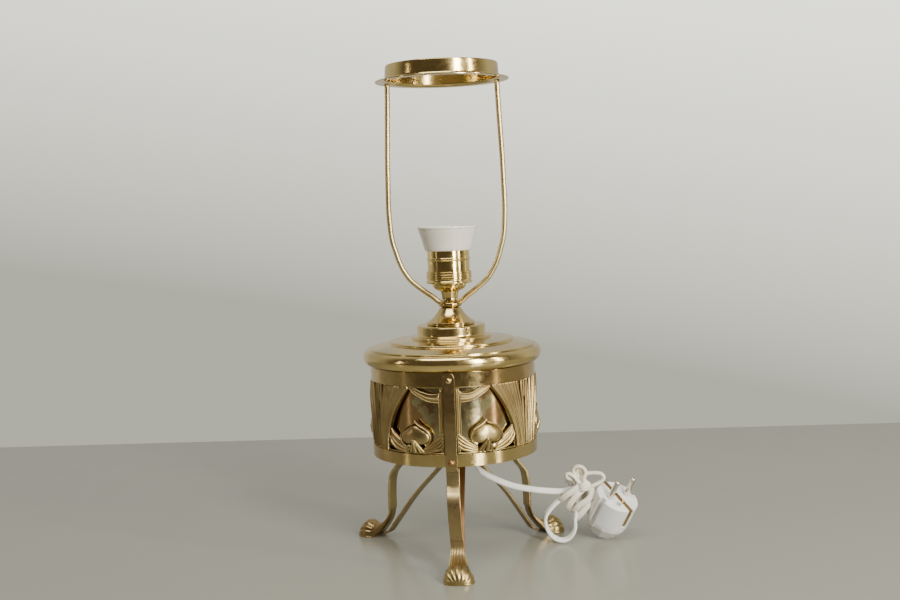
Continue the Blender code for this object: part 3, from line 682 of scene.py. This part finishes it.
def on_drum(angle, share, rise):
    """A point of the frieze: degrees, share of the height from the top, millimetres proud of its face."""
    a, r = math.radians(angle), FRIEZE_RADIUS + rise
    return (r * math.cos(a) * MM, r * math.sin(a) * MM,
            (FRIEZE_TOP + (FRIEZE_BOTTOM - FRIEZE_TOP) * share) * MM)


class Relief:
    """Closed ribs and domes of one half of a panel, each with its mirror image about 60 degrees."""

    def __init__(self):
        self.points, self.faces = [], []

    def add(self, grid):
        """A grid of (angle, share, rise) rows, each row a closed ring, with a cap at each end."""
        for mirrored in (False, True):
            base, count = len(self.points), len(grid[0])
            for row in grid:
                for angle, share, rise in row:
                    self.points.append(on_drum((120 - angle if mirrored else angle) - 60, share, rise))
            for i in range(len(grid) - 1):
                for j in range(count):
                    k = (j + 1) % count
                    self.faces.append((base + i * count + j, base + i * count + k,
                                       base + (i + 1) * count + k, base + (i + 1) * count + j))
            self.faces.append(tuple(base + j for j in range(count))[::-1])
            self.faces.append(tuple(base + (len(grid) - 1) * count + j for j in range(count)))

    def rib(self, points, widths, heights, lifts=(0,), depth=1.1):
        """A half-round rib along (angle, share) points, with widths, heights and lifts along its length."""
        path, sides = smooth(points, 6), 8
        turn, drop = math.pi / 180 * FRIEZE_RADIUS, FRIEZE_TOP - FRIEZE_BOTTOM
        flat = path * (turn, drop)
        along = np.gradient(flat, axis=0)
        along /= np.linalg.norm(along, axis=1)[:, None]
        t = np.linspace(0, 1, len(path))
        width = np.interp(t, np.linspace(0, 1, len(widths)), widths)
        height = np.interp(t, np.linspace(0, 1, len(heights)), heights)
        lift = np.interp(t, np.linspace(0, 1, len(lifts)), lifts)
        grid = []
        for centre, d, w, h, up in zip(flat, along, width, height, lift):
            row = []
            for i in range(sides + 1):
                a = math.pi * i / sides
                x = -math.cos(a) * w / 2
                row.append((centre[0] - d[1] * x, centre[1] + d[0] * x, up + h * math.sin(a)))
            for x in (w / 2, -w / 2):
                row.append((centre[0] - d[1] * x, centre[1] + d[0] * x, -depth))
            grid.append([(u / turn, v / drop, rise) for u, v, rise in row])
        self.add(grid)

    def bud(self, centre, half_width, half_height, rise):
        """A domed bud with a pointed top and a cleft foot."""
        turn, drop = math.pi / 180 * FRIEZE_RADIUS, FRIEZE_TOP - FRIEZE_BOTTOM
        grid = []
        for size in np.concatenate([[1.0], np.cos(np.linspace(0.08, 1.5, 12))]):
            row = []
            for a in np.linspace(0, 2 * math.pi, 56, endpoint=False):
                x, y = half_width * math.cos(a), half_height * math.sin(a)
                y *= 1 + 0.28 * max(0, math.sin(a)) ** 9
                y *= 1 - 0.3 * max(0, -math.sin(a)) ** 8
                height = -1.1 if not grid else rise * math.sqrt(max(0, 1 - size**2)) ** 0.8
                row.append((centre[0] + x * size / turn, centre[1] - y * size / drop, height))
            grid.append(row)
        self.add(grid)

    def mesh(self, name):
        mesh = mesh_of(name, self.points, self.faces)
        outwards(mesh)
        return mesh


def half_panel(relief):
    rib = relief.rib
    # rails along both bands, and the double bar beside the strap
    rib([(1.0, 0.005), (30, 0.005), (60.3, 0.005)], [1.0], [0.5])
    rib([(1.0, 0.985), (30, 0.985), (60.3, 0.985)], [1.5], [1.1])
    rib([(1.0, 0.0), (1.0, 1.0)], [6.0], [0.3])
    rib([(4.7, 0.0), (4.7, 0.5), (4.7, 1.0)], [1.3], [1.3])
    rib([(5.9, 0.0), (5.9, 0.5), (5.9, 1.0)], [1.6], [0.5])
    rib([(7.1, 0.08), (7.1, 0.5), (7.1, 0.84)], [1.1], [1.0])
    # swag: two bright edges, fine strands between
    rib([(28.4, 0.0), (24.0, 0.02), (20.5, 0.055), (16.5, 0.085), (12.4, 0.105), (8.4, 0.1),
         (6.2, 0.07), (6.4, 0.02)],
        [0.7, 1.2, 1.5, 1.5, 1.4, 1.3, 0.8], [0.8, 1.7, 1.9, 1.8, 1.6, 0.9])
    rib([(28.8, 0.01), (25.6, 0.075), (21.6, 0.13), (16.8, 0.185), (12.2, 0.215), (7.0, 0.225)],
        [0.7, 1.1, 1.2, 1.1], [0.9, 1.6, 1.6, 1.3])
    for k in (0.33, 0.67):
        rib([(28.2, 0.01), (24.6, 0.03 + 0.05 * k), (20.8, 0.06 + 0.075 * k), (16.6, 0.09 + 0.095 * k),
             (12, 0.11 + 0.105 * k), (7, 0.1 + 0.125 * k)], [0.7, 1.6, 2.3, 2.7], [0.4, 0.9, 1.0, 0.9])
    # the sheaf of long leaves
    count = 11
    for k in range(count):
        s = k / (count - 1)
        top, foot, bend = 29.3 + 21.5 * s, 49.0 + 8.9 * s, 1.9 - 0.45 * s
        proud = (2.2, 1.0, 1.2, 1.0, 1.4, 1.8, 1.0, 1.3, 1.0, 1.2, 1.7)[k]
        line = [(foot - (foot - top) * (1 - f) ** bend, f) for f in np.linspace(0, 1, 9)]
        rib(line, [2.9, 2.8, 2.5, 2.1, 1.7, 1.4, 1.2], [proud, proud * 1.3, proud * 1.3, proud * 1.2, proud])
    # the pair of stems at the panel's middle, with a drop and a slit between them
    rib([(56.0, 0.0), (55.7, 0.1), (55.9, 0.22), (56.8, 0.36), (57.7, 0.6), (58.0, 1.0)],
        [1.8, 1.5, 1.5, 1.6, 1.5, 1.4], [1.2, 1.5, 1.7, 1.4, 1.2])
    rib([(57.4, 0.0), (57.2, 0.12), (57.9, 0.26), (58.6, 0.45), (58.8, 0.7), (58.9, 1.0)],
        [1.9, 1.6, 1.5, 1.2], [0.9, 1.2, 1.1, 1.0])
    rib([(60.0, 0.0), (59.7, 0.12), (59.2, 0.28)], [2.4, 1.8, 0.9], [0.9, 1.2, 0.7])
    # bud, its thick curled rim towards the strap and its thin rim on the other side
    relief.bud((24.9, 0.745), 13.3, 7.6, 4.2)
    rib([(24.2, 0.49), (23.2, 0.525), (20.8, 0.572), (17.8, 0.612), (15.2, 0.655), (13.9, 0.708),
         (13.8, 0.77), (15.2, 0.835), (17.8, 0.895)],
        [1.0, 1.8, 2.3, 2.6, 2.6, 2.4, 2.1, 1.7, 1.0], [1.4, 2.1, 2.5, 2.6, 2.5, 2.2, 1.9, 1.5, 0.9],
        [1.6, 1.2, 0.7, 0.4, 0.2, 0])
    rib([(24.4, 0.53), (27.2, 0.565), (30.6, 0.6), (34.4, 0.67), (36.4, 0.755), (35.6, 0.84), (32.6, 0.9)],
        [1.3, 1.5, 1.6, 1.7, 1.7, 1.5], [1.4, 1.7, 1.8, 1.8, 1.6, 1.2], [0.8, 0.5, 0.2])
    # fan of flutes under the bud, around its middle leaf
    for foot, wide, high in ((18.6, 2.4, 0.9), (21.0, 2.4, 1.2), (25.0, 4.2, 2.0), (28.6, 2.4, 1.0)):
        rib([(24.6 + (foot - 24.6) * 0.08, 0.775), ((24.6 + foot) / 2, 0.875), (foot, 0.985)],
            [0.7, wide * 0.75, wide], [0.9, high * 1.2, high], [4.6, 2.4, 0.2], depth=0.6)
    relief.bud((29.9, 0.915), 3.6, 2.6, 2.6)
    # leaf strands from the strap down to the bud's foot
    for k in range(4):
        rib([(4.6, 0.69 + 0.06 * k), (8.0, 0.765 + 0.053 * k), (12.8, 0.845 + 0.036 * k),
             (18.4, 0.915 + 0.021 * k)],
            [1.8, 2.5, 2.5, 1.4], [1.2, 1.5, 1.5, 0.8], [0, 0.3, 0.4])
    # horn leaf, up to its point at the sheaf
    for k in range(4):
        s = k / 3
        edge = 1.0 if k in (0, 3) else 0.5
        rib([(30.4, 0.93 + 0.05 * s), (36.9 + 1.3 * s, 0.82 + 0.13 * s), (41.6 + 2.4 * s, 0.75 + 0.14 * s),
             (44.6 + 2.4 * s, 0.69 + 0.11 * s), (46.4 + 0.6 * s, 0.63 + 0.05 * s)],
            [1.4, 2.6, 2.8, 2.0, 0.5], [0.8, 1.8 * edge, 2.0 * edge, 1.6 * edge, 0.5])


def frieze(m):
    for name, azimuth in (("frieze_right", -30), ("frieze_back", 90), ("frieze_left", 210)):
        relief = Relief()
        half_panel(relief)
        mesh = relief.mesh(name)
        mesh.transform(around(azimuth))
        piece(name, mesh, m["relief"], "stand", (name,), weighted=False)


# ---------------------------------------------------------------- cord and plug

LEAD_ROUTE = [
    (16.5, -8.0, 88.0), (16.5, -8.0, 82.0), (16.7, -7.9, 77.0), (18.6, -7.3, 71.6),
    (23.2, -6.1, 66.4), (31.6, -3.6, 60.6), (47.8, 2.0, 52.3), (66.3, 10.5, 46.3),
    (80.0, 16.5, 43.2), (89.9, 20.4, 41.9),
]
LOOP_ROUTE = [
    (86.2, 17.0, 33.4), (81.2, 14.8, 29.2), (76.6, 12.5, 24.0), (75.2, 10.5, 18.4),
    (77.0, 8.0, 11.0), (81.2, 6.0, 5.4), (87.4, 4.6, 2.8), (93.6, 4.6, 3.6), (98.4, 5.6, 8.0),
    (100.6, 6.8, 13.4), (100.8, 8.2, 18.6),
]
TAIL_ROUTE = [
    (98.0, 30.3, 47.8), (96.2, 38.2, 47.6), (96.6, 45.4, 46.6), (101.6, 47.8, 44.0),
    (107.6, 45.6, 40.2), (111.4, 41.6, 36.6),
]
HANK_CENTRE = (107.3, 49.0)
# Each lap runs down its flat lower loop, back up behind it, and round its upper loop: points
# right of and above the hank's middle, then depth, and the way that the flat side faces
LAPS = [
    [(-2.4, -1.8, 12.6, 1), (-8.2, -5.4, 12.0, 1), (-13.6, -9.4, 12.6, 1), (-17.4, -13.0, 15.0, 1),
     (-18.6, -14.8, 18.5, 1), (-15.5, -12.4, 22.2, 1), (-9.0, -7.4, 23.6, 1), (-3.2, -2.4, 22.6, 0.6),
     (-4.4, 1.4, 20.6, 0.1), (-8.6, 3.6, 19.2, 0), (-12.2, 5.6, 18.2, 0), (-12.4, 8.4, 17.6, 0),
     (-9.0, 8.6, 17.0, 0), (-5.4, 5.4, 16.4, 0), (-2.0, 1.6, 15.6, 0.3)],
    [(1.4, -3.2, 13.2, 1), (-2.8, -7.6, 11.6, 1), (-7.6, -12.6, 11.2, 1), (-10.8, -17.4, 12.4, 1),
     (-12.2, -21.4, 15.6, 1), (-12.2, -22.8, 19.2, 1), (-9.8, -18.8, 23.0, 1), (-4.8, -10.8, 24.8, 1),
     (0.0, -2.8, 23.4, 0.6), (-1.8, 3.2, 21.4, 0.1), (-5.2, 8.2, 20.0, 0), (-6.2, 12.2, 19.0, 0),
     (-3.2, 14.9, 18.2, 0), (1.6, 14.2, 17.4, 0), (4.4, 9.8, 16.8, 0), (2.8, 3.4, 15.8, 0.3)],
    [(7.4, -3.6, 14.6, 1), (8.6, -8.8, 12.4, 1), (4.6, -13.4, 11.0, 1), (-1.0, -17.0, 10.8, 1),
     (-5.0, -21.0, 12.4, 1), (-6.8, -24.0, 16.0, 1), (-6.0, -24.0, 20.0, 1), (-1.0, -15.0, 24.2, 1),
     (3.4, -5.6, 24.4, 0.6), (3.2, 1.6, 21.6, 0.1), (3.0, 5.8, 19.8, 0), (6.2, 8.5, 18.6, 0),
     (11.6, 9.0, 17.8, 0), (17.0, 8.4, 17.4, 0), (19.9, 5.4, 17.0, 0), (18.0, 2.0, 16.4, 0),
     (13.2, -0.4, 15.8, 0), (9.4, -2.4, 15.4, 0.3)],
    [(8.8, -6.0, 17.0, 1), (9.0, -11.4, 15.2, 1), (6.0, -17.2, 13.0, 1), (2.4, -21.4, 11.6, 1),
     (-1.2, -25.4, 11.4, 1), (-4.2, -29.2, 13.4, 1), (-5.0, -31.0, 17.0, 1), (-3.4, -28.0, 21.2, 1),
     (0.8, -19.0, 25.0, 1), (3.6, -9.0, 26.0, 1), (2.0, 0.0, 24.4, 0.6), (-0.8, 5.4, 22.6, 0.1),
     (-3.0, 9.4, 21.8, 0), (-1.6, 12.0, 21.2, 0), (1.2, 10.0, 20.8, 0), (1.8, 4.2, 20.2, 0.3)],
]


def hank_route():
    x0, z0 = HANK_CENTRE
    points, wide = [], []
    for lap in LAPS:
        for i, (u, v, y, flat) in enumerate(lap):
            ahead, behind = lap[min(i + 1, len(lap) - 1)], lap[max(i - 1, 0)]
            along = Vector((ahead[0] - behind[0], ahead[1] - behind[1]))
            along = along.normalized() if along.length > 0.5 else Vector((-0.6, -0.8))
            if i and (along.x * -0.5 + along.y * -0.85) < 0 and flat == 1:
                along = -along  # the strand returns behind, with its flat side still outwards
            points.append((x0 + u, y, z0 + v))
            wide.append(Vector((-along.y, 0, along.x)) * flat + Vector((0, 1 - flat, 0)))
    return points, wide


def cord_and_plug(m):
    hank, hank_wide = hank_route()
    side = Vector((0, 1, 0))
    up = Vector((0.1, 0.3, 1))
    flat = Vector((0, 0.8, 0.5))
    route = LEAD_ROUTE[:-1] + [(91.0, 20.4, 41.6), (98.4, 20.0, 43.4), (103.4, 16.4, 45.6)] + hank
    wide = [side] * 4 + [up] * (len(LEAD_ROUTE) - 5) + [up, up, up] + hank_wide
    tie = []
    x0, z0 = HANK_CENTRE
    for i in range(13):  # the tie: one and a half turns round the hank's middle
        a = math.radians(-90 - 45 * i)
        tie.append((x0 + 1.6 + 5.6 * math.cos(a), 18.8 + 8.4 * math.sin(a), z0 - 0.6 - 0.3 * i))
    route += tie
    wide += [Vector((0.2, 0, 1))] * len(tie)
    down = [(96.0, 24.0, 37.0), (90.6, 20.0, 35.4)]
    back = [(101.6, 13.5, 24.0), (103.0, 18.0, 31.0), (102.0, 24.0, 39.0)]
    loop = down + LOOP_ROUTE + back
    route += loop + TAIL_ROUTE
    wide += [flat] * len(loop) + [Vector((0.2, 0.2, 1))] * len(TAIL_ROUTE)
    path = smooth(route, CORD_PARTS)
    ways = smooth([tuple(w) for w in wide], CORD_PARTS)
    path = [AXIS + Vector(p) * MM for p in path]
    mesh = swept_mesh("mains_cord", path, [Vector(w) for w in ways], twin_section())
    age = mesh.attributes.new("age", "FLOAT", "POINT")
    # the hank is yellower than the lead and the tail
    lead = len(LEAD_ROUTE) * CORD_PARTS
    tail = (len(route) - len(TAIL_ROUTE) - len(LOOP_ROUTE) - len(back)) * CORD_PARTS
    row = np.arange(len(path))
    value = np.clip((row - lead) / 10, 0, 1) * np.clip((tail - row) / 10, 0, 1)
    age.data.foreach_set("value", np.repeat(value, CORD_SIDES).astype(np.float32))
    cord = piece("mains_cord", mesh, m["cord"], "stand",
                 ("cord_lead", "cord_hank", "cord_loop", "cord_tail"), weighted=False)
    parts = plug(m)
    bush = [(4.6, 88.9), (4.6, 85.6), (7.0, 85.6), (7.0, 84.0), (5.6, 82.8), (4.2, 78.0)]
    bush += [(3.3, 78.0), (3.3, 88.9)]
    at = Matrix.Translation(AXIS + Vector((*LEAD_ROUTE[0][:2], 0)) * MM)
    turned("cord_bush", bush, m["bush"], "stand", segments=64, matrix=at)


def plug_matrix():
    """The plug's frame: it leans on its rear edge, with its pins up and towards the front right."""
    z = Vector((0.35, -0.41, 0.84)).normalized()
    row = Vector((0.77, 0.64, 0.0))
    x = (row - row.dot(z) * z).normalized()
    y = z.cross(x)
    height = 38.0 * z.z + 12.5 * y.z + 0.1
    place = Matrix.Translation(AXIS + Vector((138.3, 10.0, height)) * MM)
    return place @ Matrix((x, y, z)).transposed().to_4x4()


def plug(m):
    """The right-angle plug: Z is the pins' way, X their row, and the cord leaves along +Y."""
    place, across = plug_matrix(), Matrix.Rotation(math.pi / 2, 4, "Z")
    body = [(0, 0), (17.9, 0), (18.7, -0.9), (18.7, -24.6), (18.2, -25.2), (0, -25.2)]
    mesh = turned_mesh("plug_body", soften(body, 0.6, False), 96, Matrix())
    made = piece("plug_moulding", mesh, m["plug"], "stand", ("plug_body",))
    rear = [(0, -24.0), (18.75, -24.0), (18.75, -27.0), (13.4, -38.2), (0, -38.2)]
    rear = turned_mesh("rear", rear, 12, Matrix.Rotation(0.13, 4, "Z"))
    combine(made, cutter("rear", rear), "UNION")
    boss = soften([(9, -33), (22, -31), (24, -29), (24, -19), (22, -17), (9, -15)], 1.0)
    combine(made, cutter("boss", plate_mesh("boss", boss, 12, across, 1.4)), "UNION")
    for sign in (-1, 1):  # guide grooves at both ends of the row of pins
        turn = Matrix.Rotation(0 if sign > 0 else math.pi, 4, "Z")
        groove = plate_mesh("groove", [(15.2, -30), (30, -30), (30, 4), (15.2, 4)], 5.4, turn, 0.6)
        combine(made, cutter("groove", groove), "DIFFERENCE")
    hole = Matrix.Translation(Vector((-6.4, -8.0, 0)) * MM)
    hole = turned_mesh("hole", [(0, 4), (2.6, 4), (2.6, -14), (0, -14)], 32, hole)
    combine(made, cutter("hole", hole), "DIFFERENCE")
    channel = [(-21, -20), (-17.9, -20), (-17.9, -0.5), (21, -0.5), (21, 3), (-21, 3)]
    combine(made, cutter("channel", plate_mesh("channel", channel, 4.6, across, 0.2)), "DIFFERENCE")
    made.data.transform(place)
    found = [made]
    boot = [(2.9, 33.3), (3.8, 33.3), (4.3, 31.6), (4.3, 30.9), (4.9, 30.4), (4.9, 29.4)]
    boot += [(5.2, 28.9), (5.5, 27.6), (6.0, 24.3), (2.9, 24.3)]
    at = place @ Matrix.Translation((0, 0, -24 * MM)) @ Matrix.Rotation(-math.pi / 2, 4, "X")
    found.append(turned("plug_boot", boot, m["plug"], "stand", segments=64, matrix=at))
    pin = [(0, 19.0), (1.5, 19.0), (2.4, 17.9), (2.4, 0.3), (0, 0.3)]
    for name, x in (("plug_pin_near", -9.5), ("plug_pin_far", 9.5)):
        at = place @ Matrix.Translation((x * MM, 0, 0))
        found.append(turned(name, pin, m["nickel"], "stand", edge=0.6, segments=48, matrix=at))
    strip = [(18.6, -6), (18.6, -0.6), (17.6, -0.1), (9, -0.1), (0, 0.2), (-9, -0.1), (-17.6, -0.1)]
    strip = smooth(strip + [(-18.5, -0.7), (-18.5, -18)], 3)
    mesh = plate_mesh("plug_earth_strip", strip_outline(strip, 0.6), 3.2, place @ across, 0.12)
    found.append(piece("plug_earth_strip", mesh, m["band"], "stand", ("plug_earth_strip",)))
    return found


def cutter(name, mesh):
    made = bpy.data.objects.new(name, mesh)
    bpy.context.scene.collection.objects.link(made)
    return made


def combine(target, other, operation):
    """A boolean that is applied at once, after which its tool is removed."""
    modifier = target.modifiers.new(other.name, "BOOLEAN")
    modifier.operation = operation
    modifier.object = other
    while target.modifiers[0] != modifier:
        target.modifiers.move(target.modifiers.find(modifier.name), 0)
    with bpy.context.temp_override(object=target, active_object=target, selected_objects=[target]):
        bpy.ops.object.modifier_apply(modifier=modifier.name)
    bpy.data.objects.remove(other)


# ---------------------------------------------------------------- kept CAD nodes and stage


def dress_cad_nodes(m):
    """Gives the CAD nodes that stay as they are the materials of their neighbours."""
    surfaces = {"base_plate": "cast", "inner_lead": "cord"}
    surfaces.update({node: "holder" for node in ("nipple", "nipple_nut", "holder_nut")})
    surfaces.update({f"leg_rivet_{side}": "cast" for side in AZIMUTHS})
    for node, surface in surfaces.items():
        mesh = frame["nodes"][node].data
        mesh.materials.clear()
        mesh.materials.append(m[surface])


def camera():
    data = bpy.data.cameras.new("camera")
    data.lens, data.sensor_width = LENS, 36.0
    made = bpy.data.objects.new("camera", data)
    bpy.context.scene.collection.objects.link(made)
    right = Vector((math.cos(VIEW_TURN), math.sin(VIEW_TURN), 0))
    ahead = Vector((-math.sin(VIEW_TURN), math.cos(VIEW_TURN), 0))
    up = Vector((0, 0, 1))
    look = math.cos(VIEW_PITCH) * ahead - math.sin(VIEW_PITCH) * up
    above = math.cos(VIEW_PITCH) * up + math.sin(VIEW_PITCH) * ahead
    x = math.cos(VIEW_ROLL) * right - math.sin(VIEW_ROLL) * above
    y = math.sin(VIEW_ROLL) * right + math.cos(VIEW_ROLL) * above
    turn = Matrix((x, y, -look)).transposed().to_4x4()
    place = AXIS - ahead * VIEW_DISTANCE * MM + up * VIEW_HEIGHT * MM
    made.matrix_world = Matrix.Translation(place) @ turn
    bpy.context.scene.camera = made


def area_light(name, bearing, distance, height, size, energy, colour, aim):
    """An area light, with its bearing in degrees to the right of the camera's side, and sizes in metres."""
    data = bpy.data.lights.new(name, "AREA")
    data.shape, data.size, data.size_y = "RECTANGLE", *size
    data.energy, data.color = energy, colour
    made = bpy.data.objects.new(name, data)
    bpy.context.scene.collection.objects.link(made)
    a = VIEW_TURN - math.pi / 2 + math.radians(bearing)
    made.location = AXIS + Vector((math.cos(a) * distance, math.sin(a) * distance, height))
    made.rotation_euler = (AXIS + Vector((0, 0, aim)) - made.location).to_track_quat("-Z", "Y").to_euler()


def stage():
    """A pale table, in metres about the lamp, whose far edge stands before a paler wall."""
    far, near, aside, round_off = 0.493, 0.6, 2.0, 0.1
    shape = bmesh.new()
    outline = soften([(-aside, far), (aside, far), (aside, -near), (-aside, -near)], round_off)
    face = shape.faces.new([shape.verts.new((AXIS.x + x, AXIS.y + y, 0)) for x, y in outline])
    face.normal_update()
    if face.normal.z < 0:
        face.normal_flip()
    mesh = bpy.data.meshes.new("floor")
    shape.to_mesh(mesh)
    shape.free()
    s = Shader("floor", (0.28, 0.28, 0.235), 0.25)
    s.colour(s.mix(s.noise(3, 3), (0.27, 0.272, 0.225), (0.283, 0.285, 0.237)))
    s.roughness(s.spread(s.noise(30, 4), 0.3, 0.7, 0.2, 0.27))
    floor = new_object("floor", mesh, s.material, weighted=False)


def surroundings():
    """The wall that the camera sees, with painted light on it, and the room that the brass reflects."""
    world = bpy.data.worlds.new("studio")
    bpy.context.scene.world = world
    world.use_nodes = True
    sky = Nodes(world.node_tree)
    way = sky.place.outputs["Generated"]
    parts = sky.node("ShaderNodeSeparateXYZ")
    sky.link(way, parts.inputs[0])
    room = sky.node("ShaderNodeValToRGB")  # a dark room before the lamp, a pale wall behind it
    stops = room.color_ramp.elements
    stops[0].position, stops[0].color = 0.42, (0.1, 0.08, 0.06, 1)
    stops[1].position, stops[1].color = 0.66, (0.62, 0.6, 0.54, 1)
    sky.link(sky.spread(parts.outputs[1], -1.0, 1.0), room.inputs[0])
    slope = sky.node("ShaderNodeVectorMath")  # painted light: the seen wall is painted brighter above and to the right
    slope.operation = "DOT_PRODUCT"
    slope.inputs[1].default_value = (0.2, 0, 1)
    sky.link(way, slope.inputs[0])
    level = sky.spread(slope.outputs[1], -0.12, 0.24)
    wall = sky.mix(level, (0.56, 0.555, 0.455), (2.2, 2.18, 1.92))
    seen = sky.node("ShaderNodeLightPath").outputs["Is Camera Ray"]
    sky.link(sky.mix(seen, room.outputs[0], wall), sky.tree.nodes["Background"].inputs[0])


def lights():
    area_light("key", 32, 1.5, 0.62, (0.27, 1.1), 32, (1.0, 0.97, 0.9), 0.15)
    area_light("side", 60, 1.4, 0.6, (0.11, 1.0), 9, (1.0, 0.9, 0.72), 0.15)
    area_light("top", -15, 0.9, 1.9, (1.6, 0.7), 26, (1.0, 0.98, 0.94), 0.05)
    area_light("left", -70, 1.7, 0.5, (0.1, 0.6), 1.2, (1.0, 0.9, 0.7), 0.15)


def main():
    camera()
    m = make_materials()
    cord_and_plug(m)
    drum(m)
    lid(m)
    harp(m)
    lampholder(m)
    frame_bars(m)
    paw_feet(m)
    frieze(m)
    dress_cad_nodes(m)
    stage()
    surroundings()
    lights()


main()
